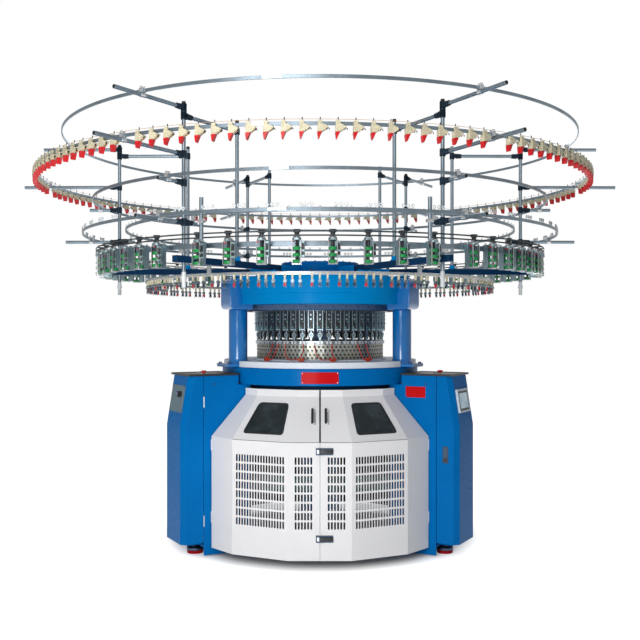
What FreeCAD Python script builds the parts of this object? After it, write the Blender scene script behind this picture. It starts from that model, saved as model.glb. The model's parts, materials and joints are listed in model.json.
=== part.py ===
import FreeCAD, Part
import math
import os
import Sketcher

# A large-diameter circular knitting machine with its ring creel.
# Origin: on the floor, on the machine's vertical axis. +Z up, the gate at the front faces -Y. Millimetres.
# Angles round the machine are measured from the front, positive to the right (+X).

SIZES = {
    # flats that the large rings are drawn with, and what repeats round the machine
    "ring_flats": 36,
    "table_flats": 36,
    "stations": 48,
    "tube_flats": 6,
    "barrel_flats": 8,
    "foot_flats": 12,
    "round_flats": 20,
    "detectors": 132,
    "seat_gap": 0.3,
    # creel: the middle radius and the middle height of each ring, and its bar
    "bar_tall": 20,
    "bar_thick": 8,
    "top_ring_radius": "outer_post_radius + top_ring_out",
    "top_ring_out": 350,
    "top_ring_height": "detector_ring_height + top_ring_rise",
    "top_ring_rise": 284,
    "detector_ring_radius": "outer_post_radius + detector_ring_out",
    "detector_ring_out": 476,
    "detector_ring_height": "middle_ring_height + detector_ring_rise",
    "detector_ring_rise": 172,
    "detector_ring_shift": -48,
    "middle_ring_radius": "outer_post_radius + middle_ring_out",
    "middle_ring_out": 142,
    "middle_ring_height": "eyelet_ring_height + middle_ring_rise",
    "middle_ring_rise": 240,
    "eyelet_ring_radius": "outer_post_radius + eyelet_ring_out",
    "eyelet_ring_out": 212,
    "eyelet_ring_height": "rail_height + eyelet_ring_rise",
    "eyelet_ring_rise": 175,
    "inner_ring_radius": "outer_post_radius - inner_ring_in",
    "inner_ring_in": 86,
    "inner_ring_height": "eyelet_ring_height + inner_ring_rise",
    "inner_ring_rise": 34,
    "lower_ring_radius": "inner_post_radius + lower_ring_out",
    "lower_ring_out": 280,
    "lower_ring_height": "beam_height - lower_ring_drop",
    "lower_ring_drop": 82,
    # creel posts and arms
    "tube_radius": 12.5,
    "left_front_post": 33.2,
    "right_front_post": 29.2,
    "side_post": 91,
    "left_rear_post": 154.3,
    "right_rear_post": 149.3,
    "outer_post_radius": 1509,
    "outer_post_top": "top_ring_height + outer_post_over",
    "outer_post_over": 14,
    "outer_post_low": "beam_height - outer_post_drop",
    "outer_post_drop": 172,
    "inner_post_radius": 993,
    "inner_post_top": "top_ring_height - inner_post_under",
    "inner_post_under": 1,
    "tie_height": "top_ring_height - tie_drop",
    "tie_drop": 73,
    "top_arm_end": "top_ring_radius + top_arm_over",
    "top_arm_over": 221,
    "detector_arm_end": "detector_ring_radius + detector_arm_over",
    "detector_arm_over": 240,
    "middle_arm_end": "middle_ring_radius + middle_arm_over",
    "middle_arm_over": 82,
    "eyelet_arm_end": "eyelet_ring_radius + eyelet_arm_over",
    "eyelet_arm_over": 194,
    "eyelet_arm_start": "inner_ring_radius - inner_arm_over",
    "inner_arm_over": 28,
    "clamp_long": 34,
    "clamp_wide": 36,
    "clamp_tall": 32,
    "ring_clamp_long": 14,
    "ring_clamp_wide": 26,
    # yarn detectors
    "detector_tall": 92,
    "detector_wide": 26,
    "detector_thick": 12,
    "detector_lean": 16,
    "detector_tip": 26,
    "lower_detector_tall": 88,
    "lower_detector_thick": 22,
    "lower_detector_wide": 92,
    # positive feeders on their rail
    "feeder_axis": "outer_post_radius + feeder_out",
    "feeder_out": 96,
    "front_feeders": 8,
    "front_feeder_start": -26.6,
    "front_feeder_step": 7.3,
    "side_feeders": 48,
    "side_feeder_start": 35.2,
    "side_feeder_step": 6.1,
    "rail_bars": 16,
    "rail_bar_flats": 3,
    "rail_thick": 17,
    "rail_tall": 30,
    "rail_height": "beam_height + rail_rise",
    "rail_rise": 73,
    "rail_clamp_tall": 22,
    "feeder_low": "rail_height - feeder_drop",
    "feeder_drop": 126,
    "feeder_top": "rail_height + feeder_rise",
    "feeder_rise": 23,
    "feeder_wide": 26,
    "feeder_arm_tall": 12,
    "feeder_arm_over": 30,
    "wheel_radius": 26.5,
    "wheel_tall": 18,
    "top_wheel_height": "rail_height - top_wheel_drop",
    "top_wheel_drop": 36,
    "wheel_pitch": 37,
    "pulley_radius": 22,
    "pulley_tall": 50,
    "belt_thick": 3,
    "belt_tall": 9,
    "upper_belt_height": "lower_belt_height + belt_step",
    "belt_step": 24,
    "lower_belt_height": "rail_height + lower_belt_rise",
    "lower_belt_rise": 37,
    # crown: the blue ring frame on the three columns, its hub and the six radial beams
    "crown_radius": "column_circle + crown_out",
    "crown_out": 17,
    "crown_low": "carrier_ring_low + carrier_ring_tall",
    "carrier_ring_tall": 45,
    "crown_top": "crown_low + crown_tall",
    "crown_tall": 196,
    "hub_radius": 290,
    "hub_top": "beam_height + hub_rise",
    "hub_rise": 62,
    "beam_end": "outer_post_radius + beam_over",
    "beam_over": 81,
    "beam_height": "crown_top + beam_rise",
    "beam_rise": 58,
    "beam_side": 42,
    "beam_saddle_radius": "crown_radius - beam_saddle_in",
    "beam_saddle_in": 50,
    "skirt_top_radius": "carrier_ring_outer + skirt_play",
    "skirt_play": 10,
    "skirt_low_radius": "skirt_top_radius + skirt_flare",
    "skirt_flare": 44,
    "skirt_low": "crown_low - skirt_tall",
    "skirt_tall": 46,
    "skirt_wall": 3,
    "column_angle": 60,
    "column_circle": "skirt_low_radius + column_out",
    "column_out": 113,
    "column_radius": 66.5,
    "column_flats": 24,
    "socket_inner": "column_circle - socket_in",
    "socket_in": 83,
    "socket_outer": "column_circle + socket_out",
    "socket_out": 99,
    "socket_wide": 172,
    "socket_low": "crown_low - socket_under",
    "socket_under": 37,
    "socket_top": "crown_top - socket_step",
    "socket_step": 14,
    "socket_round": 42,
    "base_inner": "column_circle - base_in",
    "base_in": 87,
    "base_outer": "column_circle + base_out",
    "base_out": 124,
    "base_wide": 190,
    "base_tall": 24,
    # knitting head
    "head_radius": "cylinder_radius + head_out",
    "head_out": 89,
    "carrier_ring_outer": "carrier_ring_inner + carrier_ring_wide",
    "carrier_ring_wide": 70,
    "carrier_ring_inner": "cylinder_radius + carrier_ring_out",
    "carrier_ring_out": 55,
    "carrier_ring_low": "carrier_low + carrier_tall",
    "carrier_tall": 143,
    "carrier_low": "guide_low + guide_tall",
    "guide_tall": 65,
    "carrier_thick": 26,
    "carrier_wide": 30,
    "guide_low": "cap_ring_top + guide_gap",
    "guide_gap": 3,
    "guide_wide": 20,
    "cap_ring_low": "cam_low + cam_tall",
    "cam_tall": 108,
    "cap_ring_top": "cap_ring_low + cap_ring_tall",
    "cap_ring_tall": 25,
    "cap_ring_outer": "cap_ring_inner + cap_ring_wide",
    "cap_ring_wide": 44,
    "cap_ring_inner": "cylinder_radius + cap_ring_out",
    "cap_ring_out": 55,
    "cam_low": "cover_top + cam_gap",
    "cam_gap": 8,
    "cam_inner": "cylinder_radius + cam_play",
    "cam_play": 7,
    "gear_ring_outer": "gear_ring_inner + gear_ring_wide",
    "gear_ring_wide": 48,
    "gear_ring_inner": "cylinder_radius + gear_ring_out",
    "gear_ring_out": 63,
    "cover_top": "table_top + cover_tall",
    "cover_tall": 42,
    "cover_outer": "table_radius - cover_edge",
    "cover_edge": 12,
    "cover_inner": "cylinder_radius + cover_in",
    "cover_in": 81,
    "table_top": "table_low + table_tall",
    "table_tall": 116,
    "table_low": 1163,
    "table_radius": "column_circle + table_out",
    "table_out": 54,
    "table_bore": "cylinder_radius + table_play",
    "table_play": 21,
    # the turning cylinder and the take-down frame under it
    "cylinder_radius": 381,
    "cylinder_wall": 26,
    "cylinder_top": "cap_ring_low + cylinder_over",
    "cylinder_over": 9,
    "cylinder_low": "table_low - cylinder_foot",
    "cylinder_foot": 13,
    "bearing_outer": "cylinder_radius + bearing_wide",
    "bearing_wide": 57,
    "bearing_tall": 20,
    "turntable_radius": "leg_inner - turntable_play",
    "turntable_play": 50,
    "turntable_tall": 24,
    "cheek_half": "turntable_radius - cheek_in",
    "cheek_in": 80,
    "cheek_wide": 360,
    "cheek_thick": 12,
    "cheek_low": "cloth_height - cheek_drop",
    "cheek_drop": 200,
    "roller_height": "cylinder_low - roller_drop",
    "roller_drop": 370,
    "roller_radius": 38,
    "roller_gap": 2,
    "roller_flats": 24,
    "cloth_height": "roller_height - cloth_drop",
    "cloth_drop": 390,
    "cloth_radius": 60,
    "stub_radius": 14,
    "stub_play": 0.1,
    "end_play": 2,
    # legs and feet
    "leg_inner": "table_radius - leg_under",
    "leg_under": 77,
    "leg_outer": "leg_inner + leg_deep",
    "leg_deep": 350,
    "leg_half": 160,
    "leg_wall": 8,
    "leg_low": 10,
    "leg_floor": 64,
    "leg_floor_thick": 16,
    "leg_step": "table_radius + leg_step_out",
    "leg_step_out": 15,
    "leg_top": "table_top - leg_top_drop",
    "leg_top_drop": 51,
    "foot_circle": "leg_outer",
    "foot_radius": 55,
    "foot_tall": 22,
    "foot_collar": 58,
    "foot_collar_tall": 20,
    "foot_screw": 12,
    "foot_screw_top": 94,
    "tongue_half": 64,
    "tongue_end": "foot_circle + tongue_over",
    "tongue_over": 66,
    # cabinet covers on the two front legs, and the black tops over them
    "cover_gap": 3.3,
    "cabinet_outer": "leg_outer + cabinet_deep",
    "cabinet_deep": 158,
    "cabinet_lip": "cabinet_outer - cabinet_slope",
    "cabinet_slope": 55,
    "cabinet_low": 96,
    "cabinet_knee": "cabinet_top - cabinet_knee_drop",
    "cabinet_knee_drop": 341,
    "cabinet_top": "leg_top - cabinet_top_drop",
    "cabinet_top_drop": 1,
    "cabinet_bend": 32,
    "cabinet_sheet": 3,
    "top_plate_over": 8,
    "top_plate_tall": 14,
    "top_tray_depth": 4,
    "top_tray_rim": 10,
    "stop_button_circle": "leg_outer - stop_button_in",
    "stop_button_in": 50,
    "stop_button_head": 20,
    "stop_button_tall": 16,
    "stop_button_stem": 8,
    "stop_button_travel": 6,
    "push_button_radius": 9,
    "push_button_tall": 7,
    "push_button_pitch": 34,
    # the guard round the take-down: a fifteen-sided folded sheet
    "guard_sides": 15,
    "guard_radius": "leg_outer - guard_in",
    "guard_in": 15,
    "guard_collar": "table_radius + collar_out",
    "collar_out": 3,
    "guard_low": 62,
    "guard_knee": "guard_shoulder - guard_slope_tall",
    "guard_slope_tall": 273,
    "guard_shoulder": "guard_top - collar_tall",
    "collar_tall": 46,
    "guard_top": "table_low - guard_top_drop",
    "guard_top_drop": 24,
    "guard_sheet": 3,
    "guard_leg_gap": 10.3,
    "seam_half": 1,
    "slot_low": "slot_top - slots_tall",
    "slots_tall": 461,
    "slot_top": "guard_knee - slot_top_drop",
    "slot_top_drop": 95,
    "slot_wide": 11,
    "slot_pitch": 20,
    "slot_row_tall": 46,
    "slot_rows": 8,
    "side_slots": 18,
    "centre_slots": 6,
    "centre_slot_middle": 106,
    "strip_thick": 1.5,
    "window_low": "guard_knee + window_low_rise",
    "window_low_rise": 45,
    "window_top": "guard_shoulder - window_top_drop",
    "window_top_drop": 46,
    "window_low_half": 145,
    "window_top_half": 106,
    "window_corner": 22,
    "pane_gap": 1,
    "handle_middle": 44,
    "handle_low": "handle_top - handle_long",
    "handle_long": 78,
    "handle_top": "guard_shoulder - handle_top_drop",
    "handle_top_drop": 89,
    "handle_bar": 10,
    "handle_stand": 30,
    "latch_upper": "guard_knee - latch_upper_drop",
    "latch_upper_drop": 57,
    "latch_lower": "latch_upper - latch_step",
    "latch_step": 560,
    "latch_tall": 46,
    "latch_long": 84,
    "latch_lever_deep": 12,
    "latch_base_deep": 5,
    "keeper_long": 26,
    "hinge_radius": 4.9,
    "door_hinge_radius": "guard_radius - door_hinge_in",
    "door_hinge_in": 37.5,
    "door_hinge_out": 165,
    "hinge_long": 75,
    "door_hinge_upper": "guard_knee - door_hinge_drop",
    "door_hinge_drop": 60,
    "door_hinge_lower": 270,
    "cover_hinge_upper": "cabinet_top - cover_hinge_drop",
    "cover_hinge_drop": 175,
    "cover_hinge_lower": 246,
    # what the two cabinets hold
    "panel_thick": 4,
    "panel_circle": "leg_outer - panel_in",
    "panel_in": 40,
    "inverter_deep": 150,
    "inverter_wide": 180,
    "contactor_deep": 70,
    "contactor_wide": 230,
    "motor_radius": 90,
    "motor_long": 250,
    "motor_foot_tall": 40,
    "motor_circle": "leg_outer - motor_in",
    "motor_in": 102,
    "drive_shaft_circle": "leg_inner + drive_shaft_in",
    "drive_shaft_in": 94,
    "drive_shaft_radius": 15,
    "drive_pulley_radius": 48,
    "shaft_pulley_radius": 76,
    "pulley_wide": 30,
    "drive_belt_height": 600,
    "drive_belt_wall": 5,
    # controls on the covers' sloping faces
    "switch_plate_low": "switch_plate_top - switch_plate_tall",
    "switch_plate_tall": 181,
    "switch_plate_top": "cabinet_top - switch_plate_drop",
    "switch_plate_drop": 65,
    "switch_plate_half": 118,
    "switch_plate_thick": 3,
    "switch_height": "switch_plate_top - switch_drop",
    "switch_drop": 60,
    "switch_side": 55,
    "lamp_side": 17,
    "lamp_rise": 8,
    "lamp_radius": 9,
    "lamp_tall": 8,
    "switch_radius": 22,
    "switch_tall": 24,
    "screen_height": "cabinet_top - screen_drop",
    "screen_drop": 170,
    "screen_half": 100,
    "screen_tall": 160,
    "screen_thick": 16,
    "screen_recess": 3,
    "screen_border": 16,
    "screen_side": 15,
}

doc = FreeCAD.newDocument("circular_knitting_machine")
sheet = doc.addObject("Spreadsheet::Sheet", "Sizes")
for row, alias in enumerate(SIZES, 1):
    sheet.set(f"A{row}", alias)
    sheet.setAlias(f"B{row}", alias)
for row, number in enumerate(SIZES.values(), 1):
    sheet.set(f"B{row}", f"={number}" if isinstance(number, str) else str(number))
doc.recompute()
VALUE = {alias: float(sheet.get(alias)) for alias in SIZES}

UP = FreeCAD.Vector(0, 0, 1)
NODES = []


def reckon(text):
    """The value of a sum or product of sheet names and numbers, such as 'table_top - leg_wall * 2'."""
    total, sign, term, product = 0.0, 1, 1.0, "*"
    for word in text.split():
        if word in ("+", "-"):
            total += sign * term
            sign, term, product = (1 if word == "+" else -1), 1.0, "*"
        elif word in ("*", "/"):
            product = word
        else:
            size = word.lstrip("-")
            number = VALUE[size] if size in VALUE else float(size)
            number = -number if word.startswith("-") else number
            term = term * number if product == "*" else term / number
    return total + sign * term


def link(text):
    """The same sum as an expression on the sheet's cells."""
    words = []
    for word in text.split():
        size = word.lstrip("-")
        words.append(word.replace(size, "Sizes." + size) if size in VALUE else word)
    return " ".join(words)


def less(text, taken):
    """One sum less another."""
    flipped = taken.replace(" + ", " ~ ").replace(" - ", " + ").replace(" ~ ", " - ")
    return f"{text} - {flipped}"


def bind(thing, **properties):
    for name, text in properties.items():
        thing.setExpression(name.replace("_at_", "Placement.Base."), link(text))
    return thing


def polar(angle, radius, height=0):
    """A point at an angle from the front, positive to the right."""
    turn = math.radians(angle)
    return FreeCAD.Vector(radius * math.sin(turn), -radius * math.cos(turn), height)


def facing(angle, offset=FreeCAD.Vector(0, 0, 0)):
    """The placement whose local +X points outward at an angle from the front."""
    spin = FreeCAD.Rotation(UP, angle - 90)
    return FreeCAD.Placement(spin.multVec(offset), spin)


def node(thing):
    NODES.append(thing)
    return thing


def compound(name, members):
    thing = doc.addObject("Part::Compound", name)
    thing.Links = members
    return thing


def cut(name, base, tool):
    thing = doc.addObject("Part::Cut", name)
    thing.Base = base
    thing.Tool = tool
    return thing


def fuse(name, members):
    thing = doc.addObject("Part::MultiFuse", name)
    thing.Shapes = members
    return thing


def common(name, members):
    thing = doc.addObject("Part::MultiCommon", name)
    thing.Shapes = members
    return thing


def prism(name, radius, low, tall, flats="ring_flats", turn=0.0, shift="0"):
    thing = doc.addObject("Part::Prism", name)
    thing.Placement = FreeCAD.Placement(FreeCAD.Vector(0, 0, 0), FreeCAD.Rotation(UP, turn))
    if shift != "0":
        bind(thing, _at_x=shift)
    return bind(thing, Circumradius=radius, Height=tall, Polygon=flats, _at_z=low)


def ring(name, outer, inner, low, tall, flats="ring_flats", turn=0.0, shift="0"):
    """A ring drawn with flats: a prism with a prism cut from it."""
    body = prism(name + "_outside", outer, low, tall, flats, turn, shift)
    bore = prism(name + "_inside", inner, low + " - 1", tall + " + 2", flats, turn, shift)
    return cut(name, body, bore)


def bar_ring(name, radius, height, flats="ring_flats", turn=0.0, shift="0"):
    return ring(name, radius + " + bar_thick / 2", radius + " - bar_thick / 2",
                height + " - bar_tall / 2", "bar_tall", flats, turn, shift)


def rod(name, start, direction, length, radius="tube_radius", flats="tube_flats"):
    """A round bar, drawn with flats, from a point along a direction. One of its corner lines faces up on a
    level bar, and away from the machine's axis on an upright one."""
    thing = doc.addObject("Part::Prism", name)
    upright = abs(direction.z) > 0.99
    corner = FreeCAD.Vector(start.x, start.y + 1e-6, 0) if upright else UP
    thing.Placement = FreeCAD.Placement(start, FreeCAD.Rotation(corner, FreeCAD.Vector(), direction, "ZXY"))
    return bind(thing, Circumradius=radius, Height=length, Polygon=flats)


def bore(name, start, direction, length, radius, flats="round_flats"):
    """A hole that clears a round bar of this radius at every turn: its flats lie outside the circle."""
    thing = rod(name, start, direction, length, radius, flats)
    thing.setExpression("Circumradius", f"({link(radius)}) / cos(180 deg / Sizes.{flats})")
    return thing


def block(name, angle, near, far, width, low, high, side="0"):
    """A box in the radial frame of an angle: from radius near to far, centred on side."""
    thing = doc.addObject("Part::Box", name)
    corner = FreeCAD.Vector(reckon(near), reckon(side) - reckon(width) / 2, reckon(low))
    thing.Placement = facing(angle, corner)
    return bind(thing, Length=less(far, near), Width=width, Height=less(high, low))


def body(name, angle=None):
    thing = doc.addObject("PartDesign::Body", name)
    if angle is not None:
        thing.Placement = facing(angle)
    return thing


def sketch(owner, name, plane, lift="0"):
    drawing = owner.newObject("Sketcher::SketchObject", name)
    drawing.AttachmentSupport = [(next(f for f in owner.Origin.OriginFeatures if f.Role == plane), "")]
    drawing.MapMode = "FlatFace"
    if lift != "0":
        drawing.setExpression("AttachmentOffset.Base.z", link(lift))
    return drawing


def outline(drawing, corners):
    """A closed outline whose corners are tied to the sheet."""
    points = [FreeCAD.Vector(reckon(x), reckon(y), 0) for x, y in corners]
    for index, point in enumerate(points):
        drawing.addGeometry(Part.LineSegment(point, points[(index + 1) % len(points)]))
    for index in range(len(points)):
        drawing.addConstraint(Sketcher.Constraint("Coincident", index, 2, (index + 1) % len(points), 1))
    for index, (x, y) in enumerate(corners):
        for way, text, start in (("X", x, points[index].x), ("Y", y, points[index].y)):
            place = drawing.addConstraint(Sketcher.Constraint("Distance" + way, -1, 1, index, 1, start))
            drawing.renameConstraint(place, f"corner{index}{way}")
            drawing.setExpression(f"Constraints.corner{index}{way}", link(text))
    return drawing


def pad(owner, name, drawing, length, both=False, back=False):
    feature = owner.newObject("PartDesign::Pad", name)
    feature.Profile = drawing
    feature.SideType = "Symmetric" if both else "One side"
    feature.Reversed = back
    return bind(feature, Length=length)


def pocket(owner, name, drawing, depth, both=False, back=False):
    feature = owner.newObject("PartDesign::Pocket", name)
    feature.Profile = drawing
    feature.SideType = "Symmetric" if both else "One side"
    feature.Reversed = back
    return bind(feature, Length=depth)


def feature(name, shapes):
    """A group of like solids set out by a formula from the sheet's sizes."""
    thing = doc.addObject("Part::Feature", name)
    thing.Shape = Part.makeCompound(shapes)
    return thing


def plate(corners, width, side=0.0):
    """A flat outline in the local XZ plane, width thick across it."""
    points = [FreeCAD.Vector(x, side - width / 2, z) for x, z in corners]
    face = Part.Face(Part.makePolygon(points + points[:1]))
    return face.extrude(FreeCAD.Vector(0, width, 0))


def cross_plate(corners, near, thick):
    """A flat outline in the local YZ plane, thick along the radius."""
    points = [FreeCAD.Vector(near, y, z) for y, z in corners]
    face = Part.Face(Part.makePolygon(points + points[:1]))
    return face.extrude(FreeCAD.Vector(thick, 0, 0))


def standing(radius, low, tall, flats, x=0.0, y=0.0):
    """An upright prism about a local point, one corner pointing outward."""
    points = [FreeCAD.Vector(x + radius * math.cos(turn), y + radius * math.sin(turn), low)
              for turn in (2 * math.pi * step / flats for step in range(flats))]
    return Part.Face(Part.makePolygon(points + points[:1])).extrude(FreeCAD.Vector(0, 0, tall))


def hoop(radius, height, sides, turn=0.0):
    """The corners of a level regular outline, the first at this turn from +X."""
    return [FreeCAD.Vector(radius * math.cos(math.radians(turn + 360 * step / sides)),
                           radius * math.sin(math.radians(turn + 360 * step / sides)), height)
            for step in range(int(sides))]


def folded(levels):
    """A closed solid through level outlines with as many corners each, every fold a flat face."""
    faces = [Part.Face(Part.makePolygon(level + level[:1])) for level in (levels[0], levels[-1])]
    for low, high in zip(levels, levels[1:]):
        for index in range(len(low)):
            after = (index + 1) % len(low)
            corners = [low[index], low[after], high[after], high[index]]
            faces.append(Part.Face(Part.makePolygon(corners + corners[:1])))
    return Part.makeSolid(Part.makeShell(faces))


def placed(shape, angle):
    copy = shape.copy()
    copy.Placement = facing(angle).multiply(shape.Placement)
    return copy


POST_ANGLES = [-VALUE["left_front_post"], VALUE["right_front_post"], -VALUE["side_post"], VALUE["side_post"],
               -VALUE["left_rear_post"], VALUE["right_rear_post"]]
STATION_STEP = 360 / VALUE["stations"]
FLAT_TURN = STATION_STEP / 2


def make_creel_rings():
    node(bar_ring("top_ring", "top_ring_radius", "top_ring_height"))
    node(bar_ring("detector_ring", "detector_ring_radius", "detector_ring_height", shift="detector_ring_shift"))
    node(bar_ring("middle_ring", "middle_ring_radius", "middle_ring_height"))
    node(bar_ring("eyelet_ring", "eyelet_ring_radius", "eyelet_ring_height"))
    node(bar_ring("inner_ring", "inner_ring_radius", "inner_ring_height"))
    node(bar_ring("lower_detector_ring", "lower_ring_radius", "lower_ring_height", "stations", FLAT_TURN))


def make_posts():
    outer, inner = [], []
    for index, angle in enumerate(POST_ANGLES):
        outer.append(rod(f"outer_post_{index}", polar(angle, VALUE["outer_post_radius"], VALUE["outer_post_low"]),
                         UP, "outer_post_top - outer_post_low"))
        inner.append(rod(f"inner_post_{index}",
                         polar(angle, VALUE["inner_post_radius"], reckon("beam_height + beam_side / 2")),
                         UP, "inner_post_top - beam_height - beam_side / 2"))
    node(compound("outer_posts", outer))
    node(compound("inner_posts", inner))


def arm_height(ring_name):
    """The middle of an arm that carries a ring on its top line."""
    return reckon(f"{ring_name}_ring_height - bar_tall / 2 - tube_radius - seat_gap")


def make_arms():
    """Level tubes from the posts out to the rings, and the ties between the two circles of posts."""
    arms = []
    clear = "outer_post_radius + tube_radius + seat_gap + clamp_long"
    for index, angle in enumerate(POST_ANGLES):
        outward = polar(angle, 1)
        for ring_name in ("top", "detector", "middle", "eyelet"):
            start = polar(angle, reckon(clear), arm_height(ring_name))
            arms.append(rod(f"{ring_name}_arm_{index}", start, outward, less(f"{ring_name}_arm_end", clear)))
        start = polar(angle, reckon("inner_post_radius + tube_radius + seat_gap + clamp_long"), VALUE["tie_height"])
        arms.append(rod(f"tie_{index}", start, outward,
                        "outer_post_radius - inner_post_radius - tube_radius * 2 - seat_gap * 2 - clamp_long * 2"))
        start = polar(angle, VALUE["eyelet_arm_start"], arm_height("eyelet"))
        arms.append(rod(f"inner_arm_{index}", start, outward,
                        "outer_post_radius - tube_radius - seat_gap - clamp_long - eyelet_arm_start"))
    node(compound("creel_arms", arms))


def make_clamps():
    """Clamp blocks where arms meet posts, and the small blocks that carry the inner rings and the rail."""
    blocks = []
    outside = reckon("outer_post_radius + tube_radius + seat_gap")
    inside = reckon("outer_post_radius - tube_radius - seat_gap - clamp_long")
    inner = reckon("inner_post_radius + tube_radius + seat_gap")
    long, wide, tall = VALUE["clamp_long"], VALUE["clamp_wide"], VALUE["clamp_tall"]
    for angle in POST_ANGLES:
        spots = [(outside, arm_height(name)) for name in ("top", "detector", "middle", "eyelet")]
        spots += [(inside, VALUE["tie_height"]), (inner, VALUE["tie_height"]), (inside, arm_height("eyelet"))]
        for near, height in spots:
            clamp = Part.makeBox(long, wide, tall, FreeCAD.Vector(near, -wide / 2, height - tall / 2))
            blocks.append(placed(clamp, angle))
    long, wide = VALUE["ring_clamp_long"], VALUE["ring_clamp_wide"]
    for angle in POST_ANGLES:
        low = arm_height("eyelet") + VALUE["tube_radius"]
        near = reckon("inner_ring_radius - ring_clamp_long / 2")
        riser = Part.makeBox(long, wide, reckon("inner_ring_height - bar_tall / 2") - low,
                             FreeCAD.Vector(near, -wide / 2, low))
        blocks.append(placed(riser, angle))
        near = reckon("lower_ring_radius - ring_clamp_long / 2")
        low = reckon("lower_ring_height + bar_tall / 2")
        hanger = Part.makeBox(long, wide, reckon("beam_height - beam_side / 2") - low,
                              FreeCAD.Vector(near, -wide / 2, low))
        blocks.append(placed(hanger, angle))
        seat = Part.makeBox(VALUE["rail_thick"], wide, VALUE["rail_clamp_tall"],
                            FreeCAD.Vector(outside, -wide / 2, reckon("rail_height - rail_tall / 2 - rail_clamp_tall")))
        blocks.append(placed(seat, angle))
    node(feature("creel_clamps", blocks))


def detector_crossing(angle):
    """Where an arm crosses the detector ring, as an angle round that ring's own middle, which sits to the left."""
    shift, radius, way = VALUE["detector_ring_shift"], VALUE["detector_ring_radius"], polar(angle, 1)
    along = way.x * shift
    spot = way * (along + math.sqrt(along ** 2 - shift ** 2 + radius ** 2)) - FreeCAD.Vector(shift, 0, 0)
    return math.degrees(math.atan2(spot.x, -spot.y))


def make_detectors():
    """Yarn detectors under the detector ring: a leaning housing with a slanted end."""
    top = reckon("detector_ring_height - bar_tall / 2")
    low, tip = top - VALUE["detector_tall"], VALUE["detector_tip"]
    half, lean = VALUE["detector_wide"] / 2, VALUE["detector_lean"]
    near = reckon("detector_ring_radius - detector_thick / 2")
    housing = cross_plate([(-half, top), (half, top), (half + lean, low + tip), (lean - half, low)],
                          near, VALUE["detector_thick"])
    step = 360 / VALUE["detectors"]
    reach = reckon("detector_wide + detector_lean + tube_radius")
    free = math.degrees(reach / VALUE["detector_ring_radius"])
    angles = [step * (index + 0.5) - 180 for index in range(int(VALUE["detectors"]))]
    arms = [detector_crossing(angle) for angle in POST_ANGLES]
    hung = [placed(housing, angle) for angle in angles if all(abs(angle - arm) > free for arm in arms)]
    for unit in hung:
        unit.translate(FreeCAD.Vector(VALUE["detector_ring_shift"], 0, 0))
    node(feature("yarn_detectors", hung))


def make_lower_detectors():
    """One three-yarn detector block for each station, under the lower ring."""
    top = reckon("lower_ring_height - bar_tall / 2")
    thick, wide, tall = VALUE["lower_detector_thick"], VALUE["lower_detector_wide"], VALUE["lower_detector_tall"]
    near = VALUE["lower_ring_radius"] * math.cos(math.radians(FLAT_TURN)) - thick / 2
    unit = Part.makeBox(thick, wide, tall, FreeCAD.Vector(near, -wide / 2, top - tall))
    node(feature("lower_detectors", [placed(unit, STATION_STEP * index) for index in range(int(VALUE["stations"]))]))


def disc_block(axis, radius, low, tall):
    """A small disc on an upright axis, drawn as the block round it: the same width from every side."""
    return Part.makeBox(2 * radius, 2 * radius, tall, FreeCAD.Vector(axis - radius, -radius, low))


def feeder_angles():
    """Feeders stand wider apart before the front door than round the rest, and none stands at a post's beam."""
    rows = [VALUE["front_feeder_start"] + VALUE["front_feeder_step"] * index
            for index in range(int(VALUE["front_feeders"]))]
    rows += [VALUE["side_feeder_start"] + VALUE["side_feeder_step"] * index
             for index in range(int(VALUE["side_feeders"]))]
    free = math.degrees((VALUE["beam_side"] / 2 + VALUE["wheel_radius"] + 4) / VALUE["beam_end"])
    return [angle for angle in rows
            if all(abs((angle - post + 180) % 360 - 180) > free for post in POST_ANGLES)]


def rail_step():
    """The turn from one flat of the feeder rail to the next."""
    return 360 / (VALUE["rail_bars"] * VALUE["rail_bar_flats"])


def rail_face(angle, apothem, width):
    """How far out a seat of this width starts, to stand clear of the flat-sided rail at this angle."""
    lean = math.radians(abs(angle - round(angle / rail_step()) * rail_step()))
    corner = apothem / math.cos(math.radians(rail_step() / 2))
    return min((apothem + width / 2 * math.sin(lean)) / math.cos(lean), corner) + VALUE["seat_gap"]


def rail_bar(index, inner_flat, outer_flat):
    """One bar of the feeder rail, bent at each flat. The bars meet end to end all round."""
    flats = int(VALUE["rail_bar_flats"])
    low = reckon("rail_height - rail_tall / 2")
    turns = [rail_step() * (index * flats + corner - 0.5) for corner in range(flats + 1)]
    spread = math.cos(math.radians(rail_step() / 2))
    plan = [polar(turn, outer_flat / spread, low) for turn in turns]
    plan += [polar(turn, inner_flat / spread, low) for turn in reversed(turns)]
    return Part.Face(Part.makePolygon(plan + plan[:1])).extrude(UP * VALUE["rail_tall"])


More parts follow.
